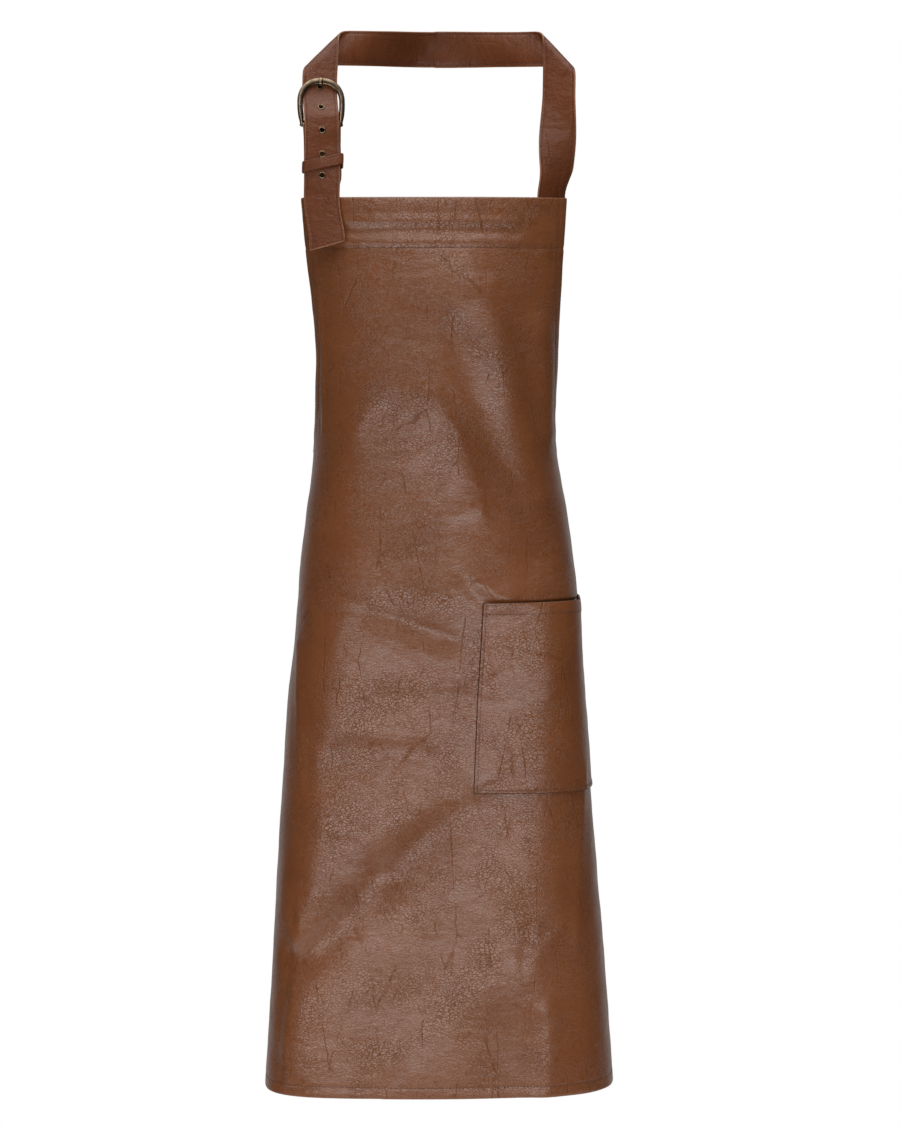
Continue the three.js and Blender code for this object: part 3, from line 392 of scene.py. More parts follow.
# A closed wall between two faces, rows by columns, with rounded edges. uv: flat places of the rows.
# A loop closes from its last row to its first, and its uv has one row more.
def wallMesh(name, front, back, uv, loop=False, rings=4, roundness=1.0, backSlot=0, ringSlot=0):
    rows, columns = front.shape[:2]
    backAt = rows * columns
    points = [front.reshape(-1, 3), back.reshape(-1, 3)]
    faces, uvFaces, slots = [], [], []
    for i in range(rows if loop else rows - 1):
        n = (i + 1) % rows
        for j in range(columns - 1):
            a, b, ub = i * columns + j, n * columns + j, (i + 1) * columns + j
            c, d = b + 1, a + 1
            faces += [(a, b, c, d), (backAt + a, backAt + d, backAt + c, backAt + b)]
            uvFaces += [(a, ub, ub + 1, d), (a, d, ub + 1, ub)]
            slots += [0, backSlot]
    # the open edges, each as a closed line of rows and columns, and the way inwards
    if loop:
        lines = [([(i, 0) for i in range(rows, -1, -1)], 1)]
        lines += [([(i, columns - 1) for i in range(rows + 1)], -1)]
    else:
        line = [(0, j) for j in range(columns)] + [(i, columns - 1) for i in range(1, rows)]
        line += [(rows - 1, j) for j in range(columns - 2, -1, -1)]
        line += [(i, 0) for i in range(rows - 2, -1, -1)]
        lines = [(line, 0)]
    count = 2 * backAt
    for line, inward in lines:
        spots = line[:-1]
        number = len(spots)
        ringPoints = [[] for _ in range(rings - 1)]
        for i, j in spots:
            r = i % rows
            f, b = front[r, j], back[r, j]
            if loop:
                ni, nj = r, j + inward
            else:
                ni = 1 if i == 0 else rows - 2 if i == rows - 1 else i
                nj = 1 if j == 0 else columns - 2 if j == columns - 1 else j
            away = f - front[ni, nj]
            half = (f - b) / 2
            size = np.linalg.norm(half)
            away = away - half * (away @ half) / max(size * size, 1e-9)
            away *= size * roundness / max(np.linalg.norm(away), 1e-9)
            for k, ring in enumerate(ringPoints):
                angle = math.pi * (k + 1) / rings
                ring.append((f + b) / 2 + half * math.cos(angle) + away * math.sin(angle))
        ringAt = [[(i % rows) * columns + j for i, j in spots]]
        for ring in ringPoints:
            points.append(np.array(ring))
            ringAt.append(list(range(count, count + number)))
            count += number
        ringAt.append([backAt + (i % rows) * columns + j for i, j in spots])
        uvRing = [i * columns + j for i, j in line]
        for here, there in zip(ringAt, ringAt[1:]):
            for m in range(number):
                n = (m + 1) % number
                faces.append((here[m], here[n], there[n], there[m]))
                uvFaces.append((uvRing[m], uvRing[m + 1], uvRing[m + 1], uvRing[m]))
                slots.append(ringSlot)
    return newMesh(name, np.concatenate(points), faces, uv.reshape(-1, 2), uvFaces, slots)


# Rows of stitches. Each stitch dips into the cloth at both ends: its places along half its length, and
# its thickness there.
thread = {"pitch": 3.3, "length": 2.5, "radius": 0.34, "lift": 0.16, "sway": 0.12, "sides": 6}
stitchShape = [(-1, 0.3), (-0.72, 0.85), (0, 1), (0.72, 0.85), (1, 0.3)]
stitchGroups = {}


def addStitches(group, path, outward):
    points, faces = stitchGroups.setdefault(group, ([], []))
    path, outward = np.asarray(path, float), np.asarray(outward, float)
    run = np.concatenate([[0], np.cumsum(np.linalg.norm(np.diff(path, axis=0), axis=1))])
    number = max(1, int(run[-1] // thread["pitch"]))
    sides = thread["sides"]
    for s in range(number):
        middle = (s + 0.5) * run[-1] / number
        wobble = thread["sway"] * math.sin(12.9898 * s + len(points))
        places = [middle + thread["length"] / 2 * t for t, _ in stitchShape]
        line = np.array([[np.interp(p, run, path[:, k]) for k in range(3)] for p in places])
        up = np.array([np.interp(middle, run, outward[:, k]) for k in range(3)])
        up /= np.linalg.norm(up)
        along = line[-1] - line[0]
        along /= max(np.linalg.norm(along), 1e-9)
        wide = np.cross(along, up)
        at = len(points)
        for p, (t, r) in zip(line, stitchShape):
            centre = p + up * (thread["lift"] * (1 - 1.6 * t * t)) + wide * wobble * t
            for k in range(sides):
                angle = 2 * math.pi * k / sides
                points.append(centre + thread["radius"] * r * (wide * math.cos(angle) + up * math.sin(angle)))
        lastRing = len(stitchShape) - 1
        for ring in range(lastRing):
            for k in range(sides):
                n = (k + 1) % sides
                a = at + ring * sides
                faces.append((a + k, a + n, a + sides + n, a + sides + k))
        faces.append(tuple(at + k for k in reversed(range(sides))))
        faces.append(tuple(at + lastRing * sides + k for k in range(sides)))


# Panel
length, bibHem, sideHem = cloth["length"], cloth["bibHem"], cloth["sideHem"]
innerHalf = cloth["skirtHalf"] - sideHem
halfColumns = [0] + divide([0, 0.9], cloth["step"] / innerHalf)[1:]
halfColumns += divide([0.9, 0.985], cloth["step"] / innerHalf)[1:]
halfColumns += [0.991, 0.995, 1.0, 1.13, 1.3, 1.55, 1.8, 2.0]
panelColumns = np.array([-c for c in reversed(halfColumns[1:])] + halfColumns)
seamStops = [-6.0, -3.6, -2.2, -1.1, 0.0, 1.1, 2.2, 3.6, 6.0]
panelRows = [0, 2.0] + divide([5.0, bibHem - 6.0], cloth["step"])[1:-1]
panelRows += [bibHem + s for s in seamStops] + divide([bibHem + 6.0, pocket["drop"] - 9], cloth["step"])[1:]
panelRows += [pocket["drop"] - s for s in (7, 5.2, 4.0, 3.2, 2.6, 2.0, 1.4, 0.7, 0, -1.2, -2.6)]
panelRows += divide([pocket["drop"] + 2.6, length - 16.0], cloth["step"])[1:-1]
panelRows += [length - sideHem + s for s in seamStops] + [length]


def layersAt(column, drop):
    inHem = smooth((np.abs(column) - 1) / 0.12)
    if drop <= bibHem or drop >= length - sideHem:
        return np.full(len(column), 2.0)
    return 1 + inHem


panelOuter, panelInner, panelUv = [], [], []
for drop in panelRows:
    across = acrossAt(panelColumns, drop)
    # behind the pocket's mouth the cloth is drawn in, which gives the dark line over the pocket
    fromStart = across - pocket["start"]
    atMouth = smooth(fromStart / 12) * smooth((pocket["width"] - fromStart) / 12)
    drawnIn = -pocket["drawnIn"] * atMouth * bump(drop - pocket["drop"] + 0.6, 2.0)
    panelOuter.append(clothFace(across, drop, drawnIn))
    panelInner.append(clothFace(across, drop, drawnIn - cloth["thick"] * layersAt(panelColumns, drop)))
    panelUv.append(np.stack([across, np.full(len(across), -drop)], 1))
panel = wallMesh("Apron_panel", np.array(panelOuter), np.array(panelInner), np.array(panelUv), backSlot=1)
print("panel:", len(panel.data.polygons), "faces")


# Stitch lines of the panel, given by points (across, drop) on the flat cloth
def clothPath(spots, lift=0.0):
    places = [clothFace([a], d, lift)[0] for a, d in spots]
    ups = [clothNormal(np.array([a]), d)[0] for a, d in spots]
    return places, ups


bibEdge = cloth["bibHalf"] - sideHem
addStitches("Panel_stitching", *clothPath([(a, bibHem) for a in np.linspace(-bibEdge, bibEdge, 110)]))
for side in (-1, 1):
    line = [(float(acrossAt(np.array([side * 1.05]), d)[0]), d) for d in divide([4, length - sideHem], 3.4)]
    addStitches("Panel_stitching", *clothPath(line))
hemSeam = [(a, length - sideHem) for a in np.linspace(-innerHalf, innerHalf, 220)]
addStitches("Panel_stitching", *clothPath(hemSeam))

# Pocket
edgeSteps = [0, 0.9, 2.0, 3.0, 4.0, 5.4, 7.4]
pocketAcross = [pocket["start"] + s for s in edgeSteps]
pocketAcross += divide([pocket["start"] + 9.0, pocket["start"] + pocket["width"] - 9.0], 3.6)
pocketAcross += [pocket["start"] + pocket["width"] - s for s in reversed(edgeSteps)]
pocketColumns = np.array(pocketAcross) / innerHalf
pocketDrops = [0, 1.0, 2.4, 5.0, 7.6, 9.4, 10.4, 11.0, 12.0, 13.2, 15.0]
pocketDrops += divide([18.0, pocket["depth"] - 9.0], 3.6) + [pocket["depth"] - s for s in reversed(edgeSteps)]


# How far the pocket's inner face stands off the panel
def pocketLift(column, down):
    inward = (column - pocketColumns[0]) * innerHalf
    share = np.clip((inward - pocket["seam"]) / (pocket["swellWidth"] - pocket["seam"]), 0, 1)
    upward = smooth((pocket["depth"] - down - pocket["seam"]) / (0.9 * pocket["depth"]))
    return cloth["seamGap"] + pocket["bulge"] * np.sin(math.pi * share) ** 2 * upward


def pocketTop(column, down):
    inward = (column - pocketColumns[0]) * innerHalf
    fromSide = np.minimum(inward, pocket["width"] - inward)
    fromEnd = pocket["depth"] - down
    nearest = np.minimum(fromSide, fromEnd)
    folded = 1 + pocket["hemBulk"] * smooth((pocket["hem"] + 5.0 - down) / 10)
    folded += pocket["seamBulk"] * bump(nearest, 5.0)
    lift = pocketLift(column, down) + cloth["thick"] * folded
    lift -= pocket["seamDip"] * bump(nearest - pocket["stitchIn"], 0.9)
    lift -= pocket["hemDip"] * bump(down - pocket["hem"], 1.2)
    lift += pocket["softRise"] * ripple(inward, down, 26, 9.1, 1.2) * smooth(nearest / 12)
    lift += pocket["puckerRise"] * ripple(inward, down * 0.3, 13, 6.6) * bump(down - pocket["hem"], 8)
    return lift


def pocketFace(column, down, inside=False):
    drop = pocket["drop"] + down
    lift = pocketLift(column, down) if inside else pocketTop(column, down)
    return clothFace(acrossAt(column, drop), drop, lift)


pocketOuter = np.array([pocketFace(pocketColumns, d) for d in pocketDrops])
# The inner face reaches a little further at the sewn edges, so that these lean outward and look dark
innerColumns = pocketColumns.copy()
innerColumns[0] -= pocket["edgeLean"] / innerHalf
innerColumns[-1] += pocket["edgeLean"] / innerHalf
innerDrops = pocketDrops[:-1] + [pocket["depth"] + pocket["edgeLean"]]
pocketInner = np.array([pocketFace(innerColumns, d, True) for d in innerDrops])
pocketUv = np.array([np.stack([np.array(pocketAcross) + 700, np.full(len(pocketAcross), -d - 300)], 1)
                     for d in pocketDrops])
# the ring round its edges takes the third material, a painted shadow line
pocketPiece = wallMesh("Patch_pocket", pocketOuter, pocketInner, pocketUv, roundness=0.5,
                       backSlot=1, ringSlot=2)


def pocketPath(spots):
    places, ups = [], []
    for inward, down in spots:
        column = np.array([(pocket["start"] + inward) / innerHalf])
        places.append(pocketFace(column, down)[0])
        drop = pocket["drop"] + down
        ups.append(clothNormal(acrossAt(column, drop), drop)[0])
    return places, ups


inset, wide, deep = pocket["stitchIn"], pocket["width"], pocket["depth"]
outline = [(inset, d) for d in np.linspace(1, deep - inset, 70)]
outline += [(a, deep - inset) for a in np.linspace(inset, wide - inset, 72)[1:]]
outline += [(wide - inset, d) for d in np.linspace(deep - inset, 1, 70)[1:]]
addStitches("Pocket_stitching", *pocketPath(outline))
addStitches("Pocket_stitching", *pocketPath([(a, pocket["hem"]) for a in np.linspace(5, wide - 5, 72)]))
for a1, a2 in ((inset, 13), (wide - inset, wide - 13)):  # sewn triangles that hold the mouth's corners
    corner = [(mix(a2, a1, t), mix(2, 14, t)) for t in np.linspace(0, 1, 8)]
    addStitches("Pocket_stitching", *pocketPath([(a, 2) for a in np.linspace(a1, a2, 6)] + corner[1:]))
print("pocket:", len(pocketPiece.data.polygons), "faces")

# Neck strap
strap = {
    "width": 36.0,
    "thick": 2.2,
    "tuck": 42.0,  # sewn behind the bib, below its edge
    "roll": 6.0,  # radius of the fold that turns each leg towards the nape
    "tip": 50.0,  # bib's top edge down to the long end's tip
    "tipSlant": 0.28,
    "drawn": 0.975,  # the long leg's width against its full one
    "drawnAtBuckle": 0.03,  # and how much less from the keeper up to the fold
    "offMiddle": 1.3,  # how far it lies aside there
    "leanLow": 0.21,  # slope of the legs back towards the neck, and what is added to it further up
    "leanMore": 0.13,
    "napeArc": 72.0,  # how far forward of the nape the run behind the neck starts
    "runHeight": -2.0,
    "turnIn": 75.0,  # length in which a leg turns into that run
    "stitchIn": 2.3,
    "stitchDip": 0.3,  # shares of the half thickness: beside the edge, between the stitches, uneven
    "swell": 0.12,
    "uneven": 0.1,
}
legs = {
    "right": {"side": 1, "tip": 0.643, "low": 0.676, "high": 0.698, "reach": 0.582, "turnLow": 38,
              "turnHigh": -30, "turnTo": 0.7, "blend": 0.19, "inset": -1.5},
    "left": {"side": -1, "tip": 0.597, "low": 0.636, "high": 0.654, "reach": 0.627, "turnLow": 10,
             "turnHigh": -12, "turnTo": 0.38, "blend": 0.127, "inset": 6},
}
buckle = {
    "below": 36.0,  # nape down to the top of the frame
    "barAt": 0.935,  # share of the height from the top down to the bar
    "bowAt": 0.48,  # and to where the bow starts
    "barDepth": 1.3,
    "wire": 2.0,  # radius of the bar
    "inner": 18.7,  # half the opening's width
    "side": 5.9,  # widths of the frame's metal, and its depth from front to back
    "top": 6.8,
    "foot": 3.2,
    "deep": 3.4,
    "height": 50.5,
    "footIn": 0.915,  # the feet curve in to this share of the half width
    "ball": 1.9,  # how much thicker the frame is at the ball on each foot
    "shift": 0.6,  # how far it sits off the strap's middle
    "prong": 1.0,  # half thickness, half width, and half width of its eye
    "prongWide": 2.3,
    "prongEye": 2.6,
}
eyelets = {
    "pitch": 24.0,
    "lean": 0.955,  # rise for each millimetre along the leaning strap
    "count": 5,
    "hole": 2.2,  # radii; then the lip's thickness and the room left under it
    "rim": 3.7,
    "barrel": 2.8,
    "lip": 0.6,
    "lipGap": 0.45,
    "drop": (0, 0.6, 2.0, 2.6, 1.0),  # how far each was punched below its place
}
bibDrop = cloth["bibDrop"]
strapHalf, strapThick, roll = strap["width"] / 2, strap["thick"], strap["roll"]
foldTop = bibDrop + strap["runHeight"] - math.pi * roll / math.sqrt(2)


def turnAt(leg, rise):
    return math.radians(mix(leg["turnLow"], leg["turnHigh"], float(smooth(rise / (leg["turnTo"] * bibDrop)))))


# A leg's flat middle surface. a: outward from its middle. rise: above the bib's top edge.
def legPlane(leg, a, rise):
    share = rise / foldTop
    lean = strap["leanLow"] * rise
    if rise > 0:
        lean += strap["leanMore"] * foldTop * share * share
    ends = leg["tip"] if rise < 0 else leg["high"]
    out = mix(leg["low"], ends, float(smooth(-rise / strap["tip"] if rise < 0 else share)))
    turn = turnAt(leg, rise)
    x = leg["side"] * (out * cloth["hemHalf"] + a * math.cos(turn))
    return Vector((x, -leg["reach"] * cloth["frontReach"] + lean + a * math.sin(turn), rise - bibDrop))


# Outward normal of a surface point(u, v), by small steps
def normalOf(point, u, v, step=0.5):
    alongU = point(u + step, v) - point(u - step, v)
    alongV = point(u, v + step) - point(u, v - step)
    return alongV.cross(alongU).normalized()


def behindBib(leg, a, rise):
    across = leg["side"] * (cloth["bibHalf"] - leg["inset"] - strapHalf + a)
    inside = -(2 * cloth["thick"] + cloth["looseGap"] + strapThick / 2)
    place = clothFace([across], max(0.0, -rise), inside)[0]
    return Vector((place[0], place[1], rise - bibDrop))


def sewnLeg(leg, a, rise):
    share = float(smooth((rise - 2) / (leg["blend"] * bibDrop)))
    if share >= 1:
        return legPlane(leg, a, rise)
    return behindBib(leg, a, rise).lerp(legPlane(leg, a, rise), share)


# The left leg in its own axes. d: forward of the short strap's middle.
def onLeg(a, rise, d):
    def surface(u, v):
        return legPlane(legs["left"], u, v)

    normal = normalOf(surface, a, rise)
    if normal.y > 0:
        normal = -normal
    return surface(a, rise) + normal * d


frameTopRise = bibDrop - buckle["below"]
barRise = frameTopRise - buckle["height"] * buckle["barAt"]
firstEyelet = frameTopRise - buckle["top"] - 0.9
eyeletStep = eyelets["pitch"] * eyelets["lean"]
wrapRadius = buckle["wire"] + cloth["seamGap"] + strapThick / 2
barDepth = buckle["barDepth"]
layerGap = strapThick + cloth["seamGap"] + 0.1
lipDepth = eyelets["lip"] + eyelets["lipGap"]
overWrap = barDepth + wrapRadius + strapThick + lipDepth + cloth["seamGap"]
# How far the long strap stands off: below, in heights of the buckle from its top, and share of overWrap
longStrap = withColumns(["below", "d"], [
    [-0.2, 0.0],
    [0.26, 0.02],
    [0.4, 0.18],
    [0.6, 0.6],
    [0.82, 0.96],
    [1.0, 1.0],
    [1.2, 0.92],
    [1.45, 0.8],
    [1.7, 0.76],
    [2.3, 0.74],
    [2.9, 1.0],
    [3.5, 1.5],
])


def longDepth(rise):
    return overWrap * readTable(longStrap, "below", "d", (frameTopRise - rise) / buckle["height"])


# Up a leg, over the rolled fold, then behind the neck
def neckStrap(leg, a, rise):
    over = (rise - foldTop + a) / math.sqrt(2)
    along = (rise - foldTop - a) / math.sqrt(2)
    rolled = min(max(over, 0), math.pi * roll) / roll
    level = roll * math.sin(rolled) - max(0, over - math.pi * roll) if over > 0 else over
    place = legPlane(leg, (level - along) / math.sqrt(2), foldTop + (level + along) / math.sqrt(2))
    place.y += roll * (1 - math.cos(rolled))
    away = float(smooth((over - math.pi * roll) / strap["turnIn"]))
    bow = strap["napeArc"] * (abs(place.x) / (leg["high"] * cloth["hemHalf"])) ** 1.9
    place.y = mix(place.y, strapThick / 2 - bow, away)
    place.z -= away * strap["runHeight"]
    return place


def middleRise(leg):
    toMiddle = leg["high"] * cloth["hemHalf"] / math.cos(turnAt(leg, foldTop))
    return foldTop + toMiddle + math.pi * roll / math.sqrt(2)


foldStart = foldTop - strapHalf - 2
foldEnd = foldTop + strapHalf + math.sqrt(2) * math.pi * roll + 4


# The strap is drawn a little narrower towards the buckle and lies off the middle there
def longStrapPoint(a, rise):
    atBuckle = float(smooth((rise - 12) / 45) * smooth((156 - rise) / 42))
    a = a * (strap["drawn"] - strap["drawnAtBuckle"] * atBuckle) + strap["offMiddle"] * atBuckle
    slant = -strap["tipSlant"] * a * float(smooth(-rise / strap["tip"])) if rise < 0 else 0
    if rise >= foldStart:
        return neckStrap(legs["left"], a, rise + slant)
    return onLeg(a, rise + slant, longDepth(rise + slant))


def rightStrapPoint(a, rise):
    return sewnLeg(legs["right"], a, rise) if rise < foldStart else neckStrap(legs["right"], a, rise)


# Half thickness of a sewn strap: flattened beside the edge by the stitching, a little fuller between
def strapSwell(a, run, half, seed):
    inEdge = half - abs(a)
    swell = 1 - strap["stitchDip"] * math.exp(-(((inEdge - strap["stitchIn"]) / 0.9) ** 2))
    fuller, bumps = float(smooth((inEdge - 3) / 6)), noise.noise(Vector((a / 9, run / 22, seed)))
    swell += strap["swell"] * fuller + strap["uneven"] * bumps
    return swell


edgeLines = [18.0, 17.5, 16.9, 16.3, 15.7, 15.1, 14.2, 12.5, 10.0, 7.5, 5.0, 2.5]
strapAcross = [-a for a in edgeLines] + [0.0] + list(reversed(edgeLines))
rightRises = divide([-strap["tuck"], 0, foldStart], 4) + divide([foldStart, foldEnd], 1.8)[1:]
rightRises += divide([foldEnd, middleRise(legs["right"])], 4)[1:]
leftRises = divide([-strap["tip"], 0, foldStart], 3) + divide([foldStart, foldEnd], 1.8)[1:]
leftRises += divide([foldEnd, middleRise(legs["left"])], 4)[1:-1]
strapOuter, strapInner, strapUv = [], [], []
run = 0.0
for point, rises, turned in ((rightStrapPoint, rightRises, 1), (longStrapPoint, leftRises[::-1], -1)):
    for k, rise in enumerate(rises):
        run += abs(rise - rises[k - 1]) if k else 4
        outer, inner = [], []
        for a in strapAcross:
            place, normal = point(a, rise), normalOf(point, a, rise, 0.2) * turned
            thick = strapThick / 2 * strapSwell(a, run, strapHalf, 3.3)
            outer.append(place + normal * thick)
            inner.append(place - normal * thick)
        strapOuter.append(outer)
        strapInner.append(inner)
        strapUv.append([(turned * a, run + 1400) for a in strapAcross])
strapOuter, strapInner = np.array(strapOuter), np.array(strapInner)
# the ring round its edges takes the second material, a painted highlight
strapPiece = wallMesh("Neck_strap", strapOuter, strapInner, np.array(strapUv),
                      rings=6, roundness=0.9, ringSlot=1)
print("neck strap:", len(strapPiece.data.polygons), "faces")


# Stitches along one column of a strap's face
def stitchColumn(group, face, other, column):
    addStitches(group, face[:, column], face[:, column] - other[:, column])


seamColumns = [4, len(strapAcross) - 5]
for column in seamColumns:
    stitchColumn("Strap_stitching", strapOuter, strapInner, column)
    stitchColumn("Strap_stitching", strapInner, strapOuter, column)
for row in (-2, -3):  # two rows across the tip
    addStitches("Strap_stitching", strapOuter[row, 4:-4], (strapOuter - strapInner)[row, 4:-4])


# Places a shape made round its own Z axis on the long strap, with Z pointing forward
def strapPlace(rise, a=0.0):
    centre = longStrapPoint(a, rise)
    out = normalOf(longStrapPoint, a, rise, 0.5)
    if out.y > 0:
        out = -out
    up = (longStrapPoint(a, rise + 1) - longStrapPoint(a, rise - 1)).normalized()
    right = up.cross(out).normalized()
    up = out.cross(right)
    turn = Matrix((right, up, out)).transposed().to_4x4()
    return Matrix.Translation(centre) @ turn


# A closed profile of (radius, height) turned round the Z axis of a place
def latheMesh(name, profile, steps, place):
    points, faces = [], []
    for i in range(steps):
        angle = 2 * math.pi * i / steps
        for r, z in profile:
            points.append(place @ Vector((r * math.cos(angle), r * math.sin(angle), z)))
    number = len(profile)
    for i in range(steps):
        n = (i + 1) % steps
        for k in range(number):
            m = (k + 1) % number
            faces.append((i * number + k, n * number + k, n * number + m, i * number + m))
    return newMesh(name, [tuple(p) for p in points], faces)


# Cuts shapes out of a piece, and removes them
def cutOut(piece, shapes):
    for shape in shapes:
        cut = piece.modifiers.new(shape.name, "BOOLEAN")
        cut.operation, cut.solver, cut.object = "DIFFERENCE", "EXACT", shape
    graph = bpy.context.evaluated_depsgraph_get()
    result = bpy.data.meshes.new_from_object(piece.evaluated_get(graph))
    piece.modifiers.clear()
    piece.data = result
    for shape in shapes:
        bpy.data.objects.remove(shape)


# Turned brass with a flat lip behind and a rolled rim in front
eyeletPieces = []
face = strapThick / 2 + eyelets["lipGap"] - 0.25
hole, rim, barrel, lip = eyelets["hole"], eyelets["rim"], eyelets["barrel"], eyelets["lip"]
eyeletProfile = [(hole, -face - lip * 0.6), (hole + 0.3, -face - lip), (rim - 0.7, -face - lip)]
eyeletProfile += [(rim - 0.3, -face), (barrel, -face), (barrel, face), (rim, face), (rim + 0.02, face + 0.18)]
eyeletProfile += [(rim - 0.25, face + 0.5), (rim - 0.65, face + 0.66), (hole + 0.55, face + 0.55)]
eyeletProfile += [(hole + 0.2, face + 0.25), (hole, face - 0.3)]
cutters = []
for i in range(eyelets["count"]):
    place = strapPlace(firstEyelet - i * eyeletStep - eyelets["drop"][i])
    eyeletPieces.append(latheMesh("Eyelet_%d" % (i + 1), eyeletProfile, 32, place))
    punch = [(0.01, -6), (barrel - 0.2, -6), (barrel - 0.2, 6), (0.01, 6)]
    cutters.append(latheMesh("Cut_%d" % i, punch, 24, place))
cutOut(strapPiece, cutters)
print("eyelets:", len(eyeletPieces))

# Short strap round the buckle's bar
returnRise = 0.21 * bibDrop
wrapStart = barRise - 3.5 * wrapRadius
wrapPath = [(rise, 0.0) for rise in divide([-strap["tuck"], 0, wrapStart], 4)]
for i in range(21):
    angle = math.pi * (1.12 - 1.24 * i / 20)
    wrapPath.append((barRise + wrapRadius * math.sin(angle), barDepth + wrapRadius * math.cos(angle)))
wrapPath += [(rise, layerGap) for rise in divide([wrapStart, returnRise], 4)]
slotHalf = buckle["prongEye"] + cloth["looseGap"] + 0.15


def shortStrapPoint(a, step):
    rise, d = wrapPath[min(len(wrapPath) - 1, max(0, step))]
    return sewnLeg(legs["left"], a, rise) if d == 0 else onLeg(a, rise, d)


shortOuter, shortInner, shortUv = [], [], []
run = 0.0
for i in range(len(wrapPath)):
    outer, inner = [], []
    run += 4
    for a in strapAcross:
        along = shortStrapPoint(a, min(i + 1, len(wrapPath) - 1)) - shortStrapPoint(a, max(i - 1, 0))
        acrossway = shortStrapPoint(a + 0.5, i) - shortStrapPoint(a - 0.5, i)
        normal = along.cross(acrossway).normalized()
        thick = strapThick / 2 * strapSwell(a, run, strapHalf, 8.3)
        place = shortStrapPoint(a, i)
        outer.append(place + normal * thick)
        inner.append(place - normal * thick)
    shortOuter.append(outer)
    shortInner.append(inner)
    shortUv.append([(a + 100, run + 2600) for a in strapAcross])
shortOuter, shortInner = np.array(shortOuter), np.array(shortInner)
shortPiece = wallMesh("Buckle_strap", shortOuter, shortInner, np.array(shortUv), rings=6, roundness=0.9)
slotBox = latheMesh("Cut_slot", [(0.01, -8), (slotHalf, -8), (slotHalf, 8), (0.01, 8)], 16,
                    strapPlace(barRise + 1.2) @ Matrix.Diagonal((1, 2.6, 1, 1)))
cutOut(shortPiece, [slotBox])
for column in seamColumns:
    stitchColumn("Strap_stitching", shortInner, shortOuter, column)


# Buckle

# A tube of oval section along points in the left leg's axes
def tubeMesh(name, path, radii, sides):
    rings = []
    for i, here in enumerate(path):
        along = (Vector(path[min(len(path) - 1, i + 1)]) - Vector(path[max(0, i - 1)])).normalized()
        deepWay = Vector((0, 0, 1)) - along * along.z
        if deepWay.length < 0.2:
            deepWay = Vector((0, 1, 0)) - along * along.y
        deepWay.normalize()
        wideWay = along.cross(deepWay)
        w, t = radii[i]
        ring = []
        for k in range(sides):
            angle = 2 * math.pi * (k + 0.5) / sides
            at = Vector(here) + wideWay * (w * math.cos(angle)) + deepWay * (t * math.sin(angle))
            ring.append(tuple(onLeg(at.x, at.y, at.z)))
        rings.append(ring)
    points = [p for ring in rings for p in ring]
    faces = []
    for i in range(len(rings) - 1):
        for k in range(sides):
            n = (k + 1) % sides
            faces.append((i * sides + k, i * sides + n, (i + 1) * sides + n, (i + 1) * sides + k))
    end = (len(rings) - 1) * sides
    faces.append(tuple(reversed(range(sides))))
    faces.append(tuple(end + k for k in range(sides)))
    return newMesh(name, points, faces)


topRise = frameTopRise - buckle["top"] / 2
frameTopDepth = longDepth(topRise) + strapThick / 2 + lipDepth + cloth["seamGap"] + buckle["deep"] / 2
frameHalf = buckle["inner"] + buckle["side"] / 2
bowRise = frameTopRise - buckle["height"] * buckle["bowAt"]
footRise = frameTopRise - buckle["height"] + buckle["foot"] / 2


def frameDepth(rise):
    return mix(frameTopDepth, barDepth, (topRise - rise) / (topRise - barRise))


framePath, frameRadii = [], []


def addFramePoint(a, rise, thick, thin=1.0):
    framePath.append((buckle["shift"] + a, rise, frameDepth(rise)))
    frameRadii.append((thick / 2 * thin, buckle["deep"] / 2 * thin))


legSteps, bowSteps = 18, 64
for side in (-1, 1):
    for i in range(legSteps):
        share = i / legSteps if side < 0 else 1 - (i + 1) / legSteps
        out = mix(buckle["footIn"], 1, float(smooth(0.05 + 1.1 * share)))
        ball = buckle["ball"] * bump(share - 0.06, 0.07)
        thick = mix(buckle["foot"], buckle["side"], float(smooth(2 * share))) + ball
        thin = math.sqrt(max(0.02, 1 - (1 - share / 0.06) ** 2)) if share < 0.06 else 1.0
        addFramePoint(side * frameHalf * out, mix(footRise - 0.6, bowRise, share), thick, thin)
    if side > 0:
        break
    for i in range(bowSteps + 1):
        angle = math.pi * (1 - i / bowSteps)
        c = math.cos(angle)
        a = frameHalf * math.copysign(abs(c) ** 0.88, c)
        up = max(0.0, math.sin(angle)) ** 0.94
        thick = mix(buckle["side"], buckle["top"], math.sin(angle) ** 2)
        addFramePoint(a, mix(bowRise, topRise, up), thick)
buckleFrame = tubeMesh("Buckle_frame", framePath, frameRadii, 24)
barHalf = frameHalf * 0.952
barPath = [(a, barRise, barDepth) for a in divide([buckle["shift"] - barHalf, buckle["shift"] + barHalf], 3)]
buckleBar = tubeMesh("Buckle_bar", barPath, [(buckle["wire"], buckle["wire"])] * len(barPath), 20)


def underStrap(rise):
    return longDepth(rise) - strapThick / 2 - lipDepth - cloth["seamGap"] - buckle["prong"]


